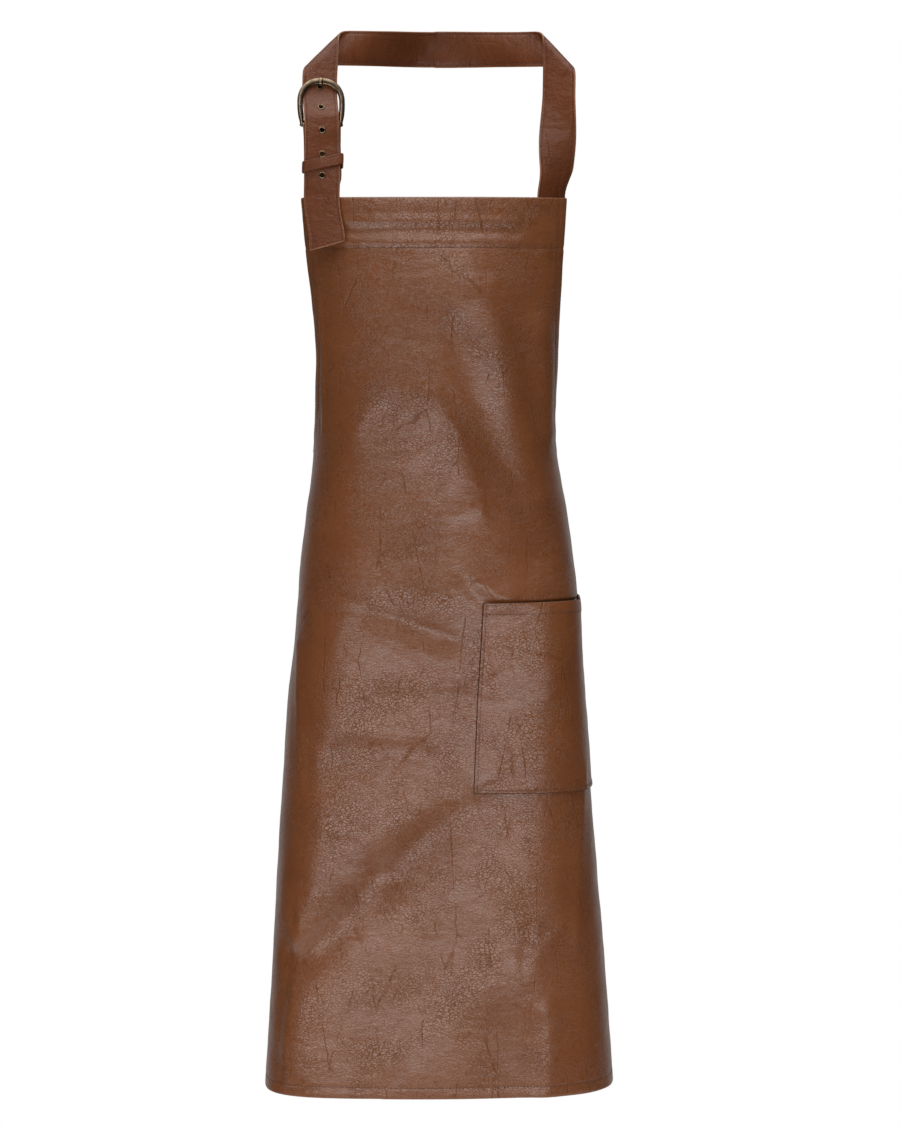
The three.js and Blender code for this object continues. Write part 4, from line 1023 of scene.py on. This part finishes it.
frontOfFrame = frameTopDepth + buckle["deep"] / 2 + buckle["prong"] + cloth["seamGap"]
low, high = mix(barRise, firstEyelet, 0.3), mix(barRise, firstEyelet, 0.6)
prongKnots = [
    (barRise + buckle["wire"] + 0.9, barDepth),
    (low, min(barDepth, underStrap(low))),
    (high, underStrap(high)),
    (firstEyelet - 5, underStrap(firstEyelet - 5)),
    (firstEyelet - 1, underStrap(firstEyelet)),
    (firstEyelet, underStrap(firstEyelet) + 0.9),
    (firstEyelet, mix(underStrap(firstEyelet), frontOfFrame, 0.75)),
    (firstEyelet + 0.6, frontOfFrame - 0.5),
    (firstEyelet + 2.6, frontOfFrame),
    (frameTopRise - 0.6, frontOfFrame - 0.1),
]
prongPath = []
for (rise, d), (nextRise, nextD) in zip(prongKnots, prongKnots[1:] + prongKnots[-1:]):
    prongPath.append((strap["offMiddle"], rise, d))
    prongPath.append((strap["offMiddle"], mix(rise, nextRise, 0.5), mix(d, nextD, 0.5)))
prongPath.pop()
prongTaper = [1.0] * (len(prongPath) - 2) + [0.9, 0.5]
prongRadii = [(buckle["prongWide"] * t, buckle["prong"] * t) for t in prongTaper]
prong = tubeMesh("Buckle_prong", prongPath, prongRadii, 14)
eyeInner, eyeThick, eyeSteps = buckle["wire"] + 0.45, 1.3, 32
eyeFront, eyeBack = [], []
spots = divide([-buckle["prongEye"], buckle["prongEye"]], 1.3)
for i in range(eyeSteps):
    angle = 2 * math.pi * i / eyeSteps
    for radius, rows in ((eyeInner + eyeThick, eyeFront), (eyeInner, eyeBack)):
        rows.append([tuple(onLeg(a, barRise + radius * math.cos(angle), barDepth + radius * math.sin(angle)))
                     for a in spots])
eyeUv = [[(a, i) for a in spots] for i in range(eyeSteps + 1)]
prongEye = wallMesh("Buckle_prong_eye", np.array(eyeFront), np.array(eyeBack), np.array(eyeUv, float),
                    loop=True)
print("buckle:", len(buckleFrame.data.polygons), "faces")

# Keeper loop
keeper = {
    "width": 10.0,
    "thick": 1.6,
    "slant": 0.14,  # its right side sits higher
    "rise": 34.0,  # bib's top edge up to its middle
    "round": 3.0,
    "standOff": 1.5,  # from the strap's face, for the dark gap below it
    "sideGap": 1.3,
}
keeperBackD = -strapThick / 2 - cloth["looseGap"] - 0.2 - keeper["thick"] / 2
keeperFrontD = longDepth(keeper["rise"]) + strapThick / 2 + keeper["standOff"] + keeper["thick"] / 2
keeperHalf = strapHalf + keeper["sideGap"] + keeper["thick"] / 2
cornerRound = min(keeper["round"], (keeperFrontD - keeperBackD) / 2 - 0.2)
keeperPath = []
for sa, sd, start in ((1, 1, 0), (-1, 1, 0.5), (-1, -1, 1), (1, -1, 1.5)):
    for k in range(9):
        angle = math.pi * (start + k / 16)
        middleD = keeperFrontD - cornerRound if sd > 0 else keeperBackD + cornerRound
        keeperPath.append((sa * (keeperHalf - cornerRound) + cornerRound * math.cos(angle),
                           middleD + cornerRound * math.sin(angle), angle))
    if sa * sd > 0:  # along the front or the back face, in steps
        angle = math.pi * (start + 0.5)
        for t in np.linspace(0, 1, 12)[1:-1]:
            a = mix(sa * (keeperHalf - cornerRound), -sa * (keeperHalf - cornerRound), t)
            keeperPath.append((a, keeperFrontD if sd > 0 else keeperBackD, angle))
keeperSpots = [keeper["width"] / 2 * t for t in (-1, -0.92, -0.8, -0.6, -0.3, 0, 0.3, 0.6, 0.8, 0.92, 1)]
keeperOuter, keeperInner = [], []
for a, d, angle in keeperPath:
    for sign, rows in ((1, keeperOuter), (-1, keeperInner)):
        row = []
        for v in keeperSpots:
            swell = 0.22 * (1 - (2 * v / keeper["width"]) ** 2) if sign > 0 else 0
            out = sign * keeper["thick"] / 2 * (1 + swell)
            rise = keeper["rise"] - keeper["slant"] * a + v
            row.append(tuple(onLeg(a + out * math.cos(angle), rise, d + out * math.sin(angle))))
        rows.append(row)
keeperUv = [[(v + 300, i * 2.5) for v in keeperSpots] for i in range(len(keeperPath) + 1)]
keeperPiece = wallMesh("Keeper_loop", np.array(keeperOuter), np.array(keeperInner), np.array(keeperUv, float),
                       loop=True, rings=5)
print("keeper:", len(keeperPiece.data.polygons), "faces")

# Waist ties and their knot
ties = {
    "width": 25.0,
    "thick": 2.0,
    "tail": 170.0,  # free end below the knot
    "overlap": 34.0,  # sewn on the panel
    "clear": 44.0,
    "drop": 0.362 * length,
    "bend": 14.0,  # where the tail turns down
    "steep": 80.0,  # degrees
    "sway": 0.5,
}
knot = {"width": 20.0, "thick": 2.4, "gap": 0.6, "crease": 0.5}
tieLayers = {"left": 0.0, "right": ties["thick"] + cloth["seamGap"] + 0.3}
backY = float(bareCloth(np.array([10 * cloth["skirtHalf"]]), ties["drop"])[0, 1])


def tiePoint(side, layer, a, run):
    corner = cloth["skirtHalf"] - ties["overlap"]
    toKnot = sectionAt(ties["drop"] / length)[side][0][-1] - corner
    if run <= toKnot:
        spot = np.array([side * (corner + run)])
        place, normal = bareCloth(spot, ties["drop"] - a)[0], clothNormal(spot, ties["drop"] - a)[0]
        away = float(smooth((run - ties["overlap"]) / (toKnot - ties["clear"] - ties["overlap"])))
        seat = 2 * cloth["thick"] + cloth["looseGap"] + ties["thick"] / 2
        place = place + normal * mix(-seat, 0, away)
        return Vector((place[0], mix(place[1], backY + layer, away), place[2]))
    straightOn = knot["width"] / 2 + 3
    past = max(0, run - toKnot - straightOn)
    bend, steep = ties["bend"], math.radians(ties["steep"])
    turned = min(past / bend, steep)
    straight = max(0, past - steep * bend)
    x = min(straightOn, run - toKnot) + bend * math.sin(turned) + straight * math.cos(steep)
    z = -bend * (1 - math.cos(turned)) - straight * math.sin(steep)
    high = -bibDrop - ties["drop"] + z + a * math.cos(turned)
    return Vector((-side * (x + a * math.sin(turned)), backY + layer, high))


tieEdge = [12.5, 12.1, 11.6, 11.0, 10.4, 9.6, 8.0, 5.5, 2.8]
tieAcross = [-a for a in tieEdge] + [0.0] + tieEdge[::-1]
tiePieces = {}
for name, side in (("left", -1), ("right", 1)):
    toKnot = sectionAt(ties["drop"] / length)[side][0][-1] - (cloth["skirtHalf"] - ties["overlap"])
    outerRows, innerRows, uvRows = [], [], []

    def point(a, run):
        return tiePoint(side, tieLayers[name], a, run)

    for run in divide([0, toKnot + ties["tail"]], 3.5):
        outer, inner = [], []
        for a in tieAcross:
            place, normal = point(a, run), normalOf(point, a, run, 0.2)
            thick = ties["thick"] / 2 * strapSwell(a, run, ties["width"] / 2, 11.1 + side)
            loose = float(smooth((run - toKnot - 20) / 40))
            place.y += ties["sway"] * noise.noise(Vector((run / 30, side, 2.2))) * loose
            outer.append(place + normal * thick)
            inner.append(place - normal * thick)
        outerRows.append(outer)
        innerRows.append(inner)
        uvRows.append([(a + 500 * side, run + 3600) for a in tieAcross])
    outerRows, innerRows = np.array(outerRows), np.array(innerRows)
    tiePieces[name] = wallMesh("Waist_tie_" + name, outerRows, innerRows, np.array(uvRows),
                               rings=5, roundness=0.9)
    for column in (4, len(tieAcross) - 5):
        stitchColumn("Tie_stitching", outerRows, innerRows, column)
        stitchColumn("Tie_stitching", innerRows, outerRows, column)
    box = [(-10, 3), (10, 3), (10, 30), (-10, 30), (-10, 3)]  # sewn square that holds the tie on the panel
    for (a1, r1), (a2, r2) in zip(box, box[1:]):
        spots = []
        for t in np.linspace(0, 1, 10):
            runHere = mix(r1, r2, t)
            onPanel = side * (cloth["skirtHalf"] - ties["overlap"] + runHere)
            spots.append((onPanel, ties["drop"] - mix(a1, a2, t)))
        addStitches("Panel_stitching", *clothPath(spots))

knotY = backY + (tieLayers["left"] + tieLayers["right"]) / 2
knotHigh = ties["width"] / 2 + 3.4 + knot["thick"] / 2
knotDeep = (tieLayers["right"] - tieLayers["left"] + ties["thick"]) / 2 + knot["gap"] + knot["thick"] / 2
knotSteps = 56
knotSpots = [-10.0, -9.4, -8.4, -6.5, -4.0, -1.5, 0.0, 1.5, 4.0, 6.5, 8.4, 9.4, 10.0]
knotOuter, knotInner = [], []
for i in range(knotSteps):
    angle = 2 * math.pi * i / knotSteps
    y = math.copysign(abs(math.cos(angle)) ** 0.5, math.cos(angle))
    z = math.copysign(abs(math.sin(angle)) ** 0.5, math.sin(angle))
    for sign, rows in ((1, knotOuter), (-1, knotInner)):
        row = []
        for x in knotSpots:
            crease = noise.noise(Vector((x / 4, z * 2.0, y * 1.5))) + 1 - (2 * x / knot["width"]) ** 2
            out = sign * knot["thick"] / 2 + (knot["crease"] * crease if sign > 0 else 0)
            row.append((x * (1 - 0.12 * abs(z)), knotY + (knotDeep + out) * y,
                        -bibDrop - ties["drop"] - 1.5 + (knotHigh + out) * z))
        rows.append(row)
knotUv = [[(x + 900, i * 1.8) for x in knotSpots] for i in range(knotSteps + 1)]
knotPiece = wallMesh("Waist_knot", np.array(knotOuter), np.array(knotInner), np.array(knotUv, float),
                     loop=True)
print("ties and knot:", sum(len(t.data.polygons) for t in tiePieces.values()), "faces")

stitchPieces = {}
for group, (points, faces) in stitchGroups.items():
    stitchPieces[group] = newMesh(group, points, faces)
    print(group + ":", len(points) // (len(stitchShape) * thread["sides"]), "stitches")


# Materials

# Adds a node with its settings, its inputs' values and the links that come into it
def addNode(tree, kind, inputs=None, **settings):
    node = tree.nodes.new("ShaderNode" + kind)
    for name, value in settings.items():
        setattr(node, name, value)
    for name, value in (inputs or {}).items():
        if isinstance(value, bpy.types.NodeSocket):
            tree.links.new(value, node.inputs[name])
        else:
            node.inputs[name].default_value = value
    return node


def newMaterial(name):
    material = bpy.data.materials.new(name)
    material.use_nodes = True
    tree = material.node_tree
    tree.nodes.clear()
    return material, tree


def setStops(ramp, stops):
    elements = ramp.color_ramp.elements
    while len(elements) < len(stops):
        elements.new(0.5)
    for element, (position, code) in zip(elements, stops):
        element.position = position
        element.color = hexColor(code)


leatherLook = {
    "base": "#774525",
    "deep": "#703f21",
    "warm": "#7d4928",
    "roughness": 0.3,
    "shine": 0.66,
    "pebble": 2.7,  # mm across; about 1 mm on the real cloth, drawn this coarse so that it shows
    "pebbleRise": 0.21,  # mm, and so are the other rises
    "groove": 0.145,  # half width of a groove between pebbles, as a share of a pebble
    "grooveShade": 0.78,  # painted shade: what a groove keeps of the colour
    "grooveShine": 0.3,  # and of the shine
    "flatGrain": 0.3,  # share of the grain left in the patches pressed flat
    "patch": 60.0,  # mm across those patches
    "wrinkle": 9.0,  # mm between pulled wrinkles
    "wrinkleRise": 0.4,
    "crease": 34.0,  # mm between upright creases
    "creaseRise": 0.3,
    # painted shade: what a crease keeps of the colour
    "creaseShade": 0.82,
    "creaseSpot": 34.0,  # mm across the places that have them
    "grit": 1.1,  # mm; a tenth of that on the real coating, drawn coarser so that it breaks the sheen
}
strapLook = {
    **leatherLook,
    "base": "#673820",
    "deep": "#5c311b",
    "warm": "#6e3e25",
    "roughness": 0.36,
    "shine": 0.22,
    "pebble": 2.4,
    "pebbleRise": 0.12,
    "flatGrain": 0.1,
    "wrinkle": 14.0,
    "wrinkleRise": 1.0,
    "crease": 22.0,
}


# Polyurethane-coated cotton cloth, pressed with a pebble grain: a soft broken sheen over saddle brown
def coatedLeather(name, look):
    material, tree = newMaterial(name)
    uv = addNode(tree, "TexCoord").outputs["UV"]
    flat = addNode(tree, "VectorMath", {0: uv, 1: (1000, 1000, 1000)}, operation="MULTIPLY").outputs[0]
    warp = addNode(tree, "TexNoise", {"Vector": flat, "Scale": 1 / 18, "Detail": 2.0}).outputs["Color"]
    shifted = addNode(tree, "VectorMath", {0: warp, 1: (9.0, 12.0, 0)}, operation="MULTIPLY").outputs[0]
    wavy = addNode(tree, "VectorMath", {0: flat, 1: shifted}, operation="ADD").outputs[0]

    # pebbles, wider than high, deep in some patches and pressed flat in others
    lying = addNode(tree, "VectorMath", {0: wavy, 1: (0.72, 1.3, 1)}, operation="MULTIPLY").outputs[0]
    cells = addNode(tree, "TexVoronoi", {"Vector": lying, "Scale": 1 / look["pebble"], "Randomness": 0.95},
                    feature="DISTANCE_TO_EDGE").outputs["Distance"]
    edge = addNode(tree, "MapRange", {"Value": cells, 1: 0.0, 2: look["groove"], 3: 1.0, 4: 0.0},
                   interpolation_type="SMOOTHSTEP").outputs[0]
    patches = addNode(tree, "TexNoise", {"Vector": flat, "Scale": 1 / look["patch"], "Detail": 3.0,
                                         "Roughness": 0.6}).outputs[0]
    grainMask = addNode(tree, "MapRange", {"Value": patches, 1: 0.36, 2: 0.7, 3: look["flatGrain"], 4: 1.0},
                        interpolation_type="SMOOTHSTEP").outputs[0]
    groove = addNode(tree, "Math", {0: edge, 1: grainMask}, operation="MULTIPLY").outputs[0]

    # pulled wrinkles, longer across than down
    pulled = addNode(tree, "VectorMath", {0: wavy, 1: (0.5, 1.0, 1)}, operation="MULTIPLY").outputs[0]
    wrinkles = addNode(tree, "TexNoise", {"Vector": pulled, "Scale": 1 / look["wrinkle"], "Detail": 3.0,
                                          "Roughness": 0.6}).outputs[0]
    # thin upright creases that meet in points, here and there
    slight = addNode(tree, "VectorMath", {0: warp, 1: (5.0, 16.0, 0)}, operation="MULTIPLY").outputs[0]
    bent = addNode(tree, "VectorMath", {0: flat, 1: slight}, operation="ADD").outputs[0]
    upright = addNode(tree, "VectorMath", {0: bent, 1: (1.0, 0.24, 1)}, operation="MULTIPLY").outputs[0]
    lines = addNode(tree, "TexVoronoi", {"Vector": upright, "Scale": 1 / look["crease"], "Randomness": 1.0},
                    feature="DISTANCE_TO_EDGE").outputs["Distance"]
    lineShape = addNode(tree, "MapRange", {"Value": lines, 1: 0.0, 2: 0.024, 3: 1.0, 4: 0.0},
                        interpolation_type="SMOOTHSTEP").outputs[0]
    spots = addNode(tree, "TexNoise", {"Vector": flat, "Scale": 1 / look["creaseSpot"],
                                       "Detail": 2.0}).outputs[0]
    lineMask = addNode(tree, "MapRange", {"Value": spots, 1: 0.5, 2: 0.6, 3: 0.0, 4: 0.8}).outputs[0]
    crease = addNode(tree, "Math", {0: lineShape, 1: lineMask}, operation="MULTIPLY").outputs[0]

    # relief, each layer on the one before; grooves and creases go down
    grit = addNode(tree, "TexNoise", {"Vector": flat, "Scale": 1 / look["grit"], "Detail": 1.0}).outputs[0]
    reliefs = [
        (wrinkles, look["wrinkleRise"] * 0.002, 1.0, False),
        (crease, look["creaseRise"] * 0.001, 1.0, True),
        (groove, look["pebbleRise"] * 0.001, 1.0, True),
        (grit, 0.00005, 0.6, False),
    ]
    inputs = {}
    for height, rise, strength, sunken in reliefs:
        inputs.update({"Height": height, "Distance": rise, "Strength": strength})
        inputs["Normal"] = addNode(tree, "Bump", inputs, invert=sunken).outputs[0]

    # painted shade darkens the brown in grooves and creases, and these lose the sheen
    broad = addNode(tree, "TexNoise", {"Vector": flat, "Scale": 1 / 90, "Detail": 4.0,
                                       "Roughness": 0.65}).outputs[0]
    tone = addNode(tree, "ValToRGB", {"Fac": broad})
    setStops(tone, [(0.3, look["deep"]), (0.5, look["base"]), (0.72, look["warm"])])
    paintedGrooveShade = addNode(tree, "MapRange", {"Value": groove, 1: 0.0, 2: 1.0, 3: 1.0,
                                            4: look["grooveShade"]}).outputs[0]
    paintedCreaseShade = addNode(tree, "MapRange", {"Value": crease, 1: 0.0, 2: 1.0, 3: 1.0,
                                            4: look["creaseShade"]}).outputs[0]
    shade = addNode(tree, "Math", {0: paintedGrooveShade, 1: paintedCreaseShade}, operation="MULTIPLY").outputs[0]
    shadedColor = addNode(tree, "VectorMath", {0: tone.outputs["Color"], "Scale": shade},
                     operation="SCALE").outputs[0]
    shine = addNode(tree, "MapRange", {"Value": shade, 1: look["grooveShade"], 2: 1.0,
                                       3: look["grooveShine"] * look["shine"], 4: look["shine"]}).outputs[0]
    shader = addNode(tree, "BsdfPrincipled", {
        "Base Color": shadedColor, "Roughness": look["roughness"], "Normal": inputs["Normal"],
        "IOR": 1.5, "Specular IOR Level": shine,
    })
    addNode(tree, "OutputMaterial", {"Surface": shader.outputs[0]})
    return material


# One noise gives the tone and the relief of a small surface. size: across its spots, in metres.
def mottled(name, size, detail, tones, rise, surface):
    material, tree = newMaterial(name)
    place = addNode(tree, "TexCoord").outputs["Object"]
    spots = addNode(tree, "TexNoise", {"Vector": place, "Scale": 1 / size, "Detail": detail}).outputs[0]
    tone = addNode(tree, "ValToRGB", {"Fac": spots})
    setStops(tone, tones)
    normal = addNode(tree, "Bump", {"Height": spots, "Distance": rise, "Strength": 0.5}).outputs[0]
    surface = {"Base Color": tone.outputs["Color"], "Normal": normal, **surface}
    shader = addNode(tree, "BsdfPrincipled", surface)
    addNode(tree, "OutputMaterial", {"Surface": shader.outputs[0]})
    return material


# Painted shade on the pocket's sewn edges: dark and even, so that the edge shows as a thin shadow line
def paintedShadowEdge(name):
    return mottled(name, 0.004, 2.0, [(0.3, "#3a1f12"), (0.7, "#4a2917")], 0.0002,
                   {"Roughness": 0.55, "IOR": 1.48, "Specular IOR Level": 0.3})


# Painted highlight on a strap's cut edge: lighter than the face, so that it shows as a thin bright line
def paintedHighlightEdge(name):
    return mottled(name, 0.003, 3.0, [(0.3, "#7a4629"), (0.7, "#95603e")], 0.0001,
                   {"Roughness": 0.35, "IOR": 1.5})


# Bonded polyester thread, twisted: a dull line a little darker than the cloth.
# Its plies are about 0.3 mm apart, and drawn at 0.6 mm so that they show.
def bondedThread(name):
    return mottled(name, 0.0006, 1.0, [(0.35, "#3e2417"), (0.65, "#5c3823")], 0.0001,
                   {"Roughness": 0.6, "IOR": 1.5})


# Brushed knit that backs the coated cloth: dull, a shade darker, with fine ribs
def knitBacking(name):
    material, tree = newMaterial(name)
    uv = addNode(tree, "TexCoord").outputs["UV"]
    flat = addNode(tree, "VectorMath", {0: uv, 1: (1000, 1000, 1000)}, operation="MULTIPLY").outputs[0]
    # ribs 1.2 mm apart on the real knit, drawn at 2 mm so that they show
    ribs = addNode(tree, "TexWave", {"Vector": flat, "Scale": 0.5 / 2.0 * 0.63, "Distortion": 1.5,
                                     "Detail": 2.0, "Detail Scale": 1.5},
                   wave_type="BANDS", bands_direction="X").outputs["Fac"]
    fluff = addNode(tree, "TexNoise", {"Vector": flat, "Scale": 1 / 3.0, "Detail": 4.0}).outputs[0]
    height = addNode(tree, "Math", {0: ribs, 1: fluff}, operation="ADD").outputs[0]
    normal = addNode(tree, "Bump", {"Height": height, "Distance": 0.0003, "Strength": 0.7}).outputs[0]
    tone = addNode(tree, "ValToRGB", {"Fac": fluff})
    setStops(tone, [(0.3, "#574232"), (0.7, "#7a614d")])
    shader = addNode(tree, "BsdfPrincipled", {
        "Base Color": tone.outputs["Color"], "Roughness": 0.9, "Normal": normal, "IOR": 1.45,
        "Sheen Weight": 0.25, "Sheen Roughness": 0.5,
    })
    addNode(tree, "OutputMaterial", {"Surface": shader.outputs[0]})
    return material


# Zinc casting, brass plated, oxidised and rubbed back: dark hollows, warm metal on the high places
def antiqueBrass(name):
    material, tree = newMaterial(name)
    place = addNode(tree, "TexCoord").outputs["Object"]
    stain = addNode(tree, "TexNoise", {"Vector": place, "Scale": 1 / 0.006, "Detail": 5.0,
                                       "Roughness": 0.65}).outputs[0]
    edges = addNode(tree, "NewGeometry").outputs["Pointiness"]
    high = addNode(tree, "MapRange", {"Value": edges, 1: 0.49, 2: 0.56, 3: 0.0, 4: 1.0}).outputs[0]
    worn = addNode(tree, "Math", {0: high, 1: stain}, operation="ADD").outputs[0]
    tone = addNode(tree, "ValToRGB", {"Fac": worn})
    setStops(tone, [(0.35, "#2a231b"), (0.62, "#4d4136"), (0.98, "#7c6954")])
    fine = addNode(tree, "TexNoise", {"Vector": place, "Scale": 1 / 0.0012, "Detail": 3.0}).outputs[0]
    normal = addNode(tree, "Bump", {"Height": fine, "Distance": 0.00004, "Strength": 0.4}).outputs[0]
    rough = addNode(tree, "MapRange", {"Value": worn, 1: 0.3, 2: 1.1, 3: 0.42, 4: 0.24}).outputs[0]
    shader = addNode(tree, "BsdfPrincipled", {
        "Base Color": tone.outputs["Color"], "Metallic": 1.0, "Roughness": rough, "Normal": normal,
    })
    addNode(tree, "OutputMaterial", {"Surface": shader.outputs[0]})
    return material


# Gives a piece its materials and keeps which face has which
def dress(piece, *materials):
    mesh = piece.data
    slots = np.zeros(len(mesh.polygons), int)
    mesh.polygons.foreach_get("material_index", slots)
    mesh.materials.clear()
    for material in materials:
        mesh.materials.append(material)
    mesh.polygons.foreach_set("material_index", slots)


panelLeather = coatedLeather("Coated_leather_cloth", leatherLook)
strapLeather = coatedLeather("Coated_leather_strap", strapLook)
backing = knitBacking("Brushed_knit_backing")
threadFinish = bondedThread("Bonded_brown_thread")
brass = antiqueBrass("Antique_brass_plate")
dress(panel, panelLeather, backing)
# the pocket's edge faces carry painted shade
dress(pocketPiece, panelLeather, backing, paintedShadowEdge("Painted_shadow_edge"))
# the strap's edge faces carry a painted highlight
dress(strapPiece, strapLeather, paintedHighlightEdge("Painted_highlight_edge"))
for piece in (shortPiece, keeperPiece, knotPiece, *tiePieces.values()):
    dress(piece, strapLeather)
for piece in stitchPieces.values():
    dress(piece, threadFinish)
metalPieces = [buckleFrame, buckleBar, prong, prongEye, *eyeletPieces]
for piece in metalPieces:
    dress(piece, brass)
print("materials:", len(bpy.data.materials))

# Which piece stands for which solid
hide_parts("apron_panel")
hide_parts("pocket")
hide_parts("neck_strap")
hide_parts("buckle_strap")
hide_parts("buckle_frame")
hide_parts("buckle_prong")
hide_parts("keeper_loop")
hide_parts("waist_knot")
for name, piece in tiePieces.items():
    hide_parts("waist_tie_" + name)
for i, piece in enumerate(eyeletPieces):
    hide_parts("eyelet_%d" % (i + 1))
leatherPieces = [panel, pocketPiece, strapPiece, shortPiece, keeperPiece, knotPiece, *tiePieces.values()]
for piece in leatherPieces + list(stitchPieces.values()):
    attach(piece, "root")
for piece in metalPieces:
    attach(piece, "root")
panelArea = sum(2 * edgeAt((k + 0.5) / 400) * length / 400 for k in range(400)) / 1e6

# Floor, light and backdrop
studio = {
    "floorZ": -1.55,
    "floorGlow": 0.2,
    "backdrop": 1.0,
    "ambientLow": 0.06,  # around the horizon, so that the sides stay deep
    "ambientHigh": 1.2,  # overhead
    "ambientBack": 0.4,  # behind, for the pale rims
    "floorRadius": 1.1,
}
floorSides = 96
turns = [2 * math.pi * k / floorSides for k in range(floorSides)]
floorMesh = bpy.data.meshes.new("Studio_floor")
reach = studio["floorRadius"]
rim = [(reach * math.cos(turn), reach * math.sin(turn), studio["floorZ"]) for turn in turns]
floorMesh.from_pydata(rim, [], [tuple(range(floorSides))])
floor = bpy.data.objects.new("Studio_floor", floorMesh)
scene.collection.objects.link(floor)
# Matt painted board, near white, lit a little from below as a light table is
floorBoard, tree = newMaterial("Matt_white_board")
speck = addNode(tree, "TexNoise", {"Scale": 40.0, "Detail": 2.0}).outputs[0]
tone = addNode(tree, "ValToRGB", {"Fac": speck})
setStops(tone, [(0.0, "#f2f1ef"), (1.0, "#f8f7f5")])
board = addNode(tree, "BsdfPrincipled", {
    "Base Color": tone.outputs["Color"], "Roughness": 0.9,
    "Emission Color": hexColor("#ffffff"), "Emission Strength": studio["floorGlow"],
})
addNode(tree, "OutputMaterial", {"Surface": board.outputs[0]})
floorMesh.materials.append(floorBoard)

world = bpy.data.worlds.new("Studio_world")
scene.world = world
world.use_nodes = True
tree = world.node_tree
tree.nodes.clear()
direction = addNode(tree, "TexCoord").outputs["Generated"]
split = addNode(tree, "SeparateXYZ", {0: direction}).outputs
overhead = addNode(tree, "MapRange", {"Value": split["Z"], 1: 0.5, 2: 0.9, 3: studio["ambientLow"],
                                      4: studio["ambientHigh"]}, interpolation_type="SMOOTHSTEP").outputs[0]
behind = addNode(tree, "MapRange", {"Value": split["Y"], 1: 0.6, 2: 0.95, 3: 0.0, 4: studio["ambientBack"]},
                 interpolation_type="SMOOTHSTEP").outputs[0]
ambient = addNode(tree, "Math", {0: overhead, 1: behind}, operation="ADD").outputs[0]
dim = addNode(tree, "Background", {"Color": (1, 1, 1, 1), "Strength": ambient}).outputs[0]
white = addNode(tree, "Background", {"Color": (1, 1, 1, 1), "Strength": studio["backdrop"]}).outputs[0]
seen = addNode(tree, "LightPath").outputs["Is Camera Ray"]
both = addNode(tree, "MixShader", {0: seen, 1: dim, 2: white}).outputs[0]
addNode(tree, "OutputWorld", {"Surface": both})

# name, place, looked at, width, height, watts
lamps = [
    ("Front_softbox", (-0.22, -2.4, -0.85), (0, 0, -0.85), 3.35, 1.02, 36),
    ("High_key", (-0.2, -1.7, 1.1), (0, -0.1, -0.5), 0.6, 0.6, 5),
    ("Top_light", (0, -0.3, 1.9), (0, -0.1, -0.4), 2.0, 2.0, 28),
]
for name, place, lookedAt, wideness, height, watts in lamps:
    data = bpy.data.lights.new(name, "AREA")
    data.shape, data.size, data.size_y, data.energy = "RECTANGLE", wideness, height, watts
    lamp = bpy.data.objects.new(name, data)
    scene.collection.objects.link(lamp)
    lamp.location = place
    lamp.rotation_mode = "QUATERNION"
    lamp.rotation_quaternion = (Vector(lookedAt) - Vector(place)).to_track_quat("-Z", "Y")
scene.view_settings.view_transform = "Standard"
print("studio ready")
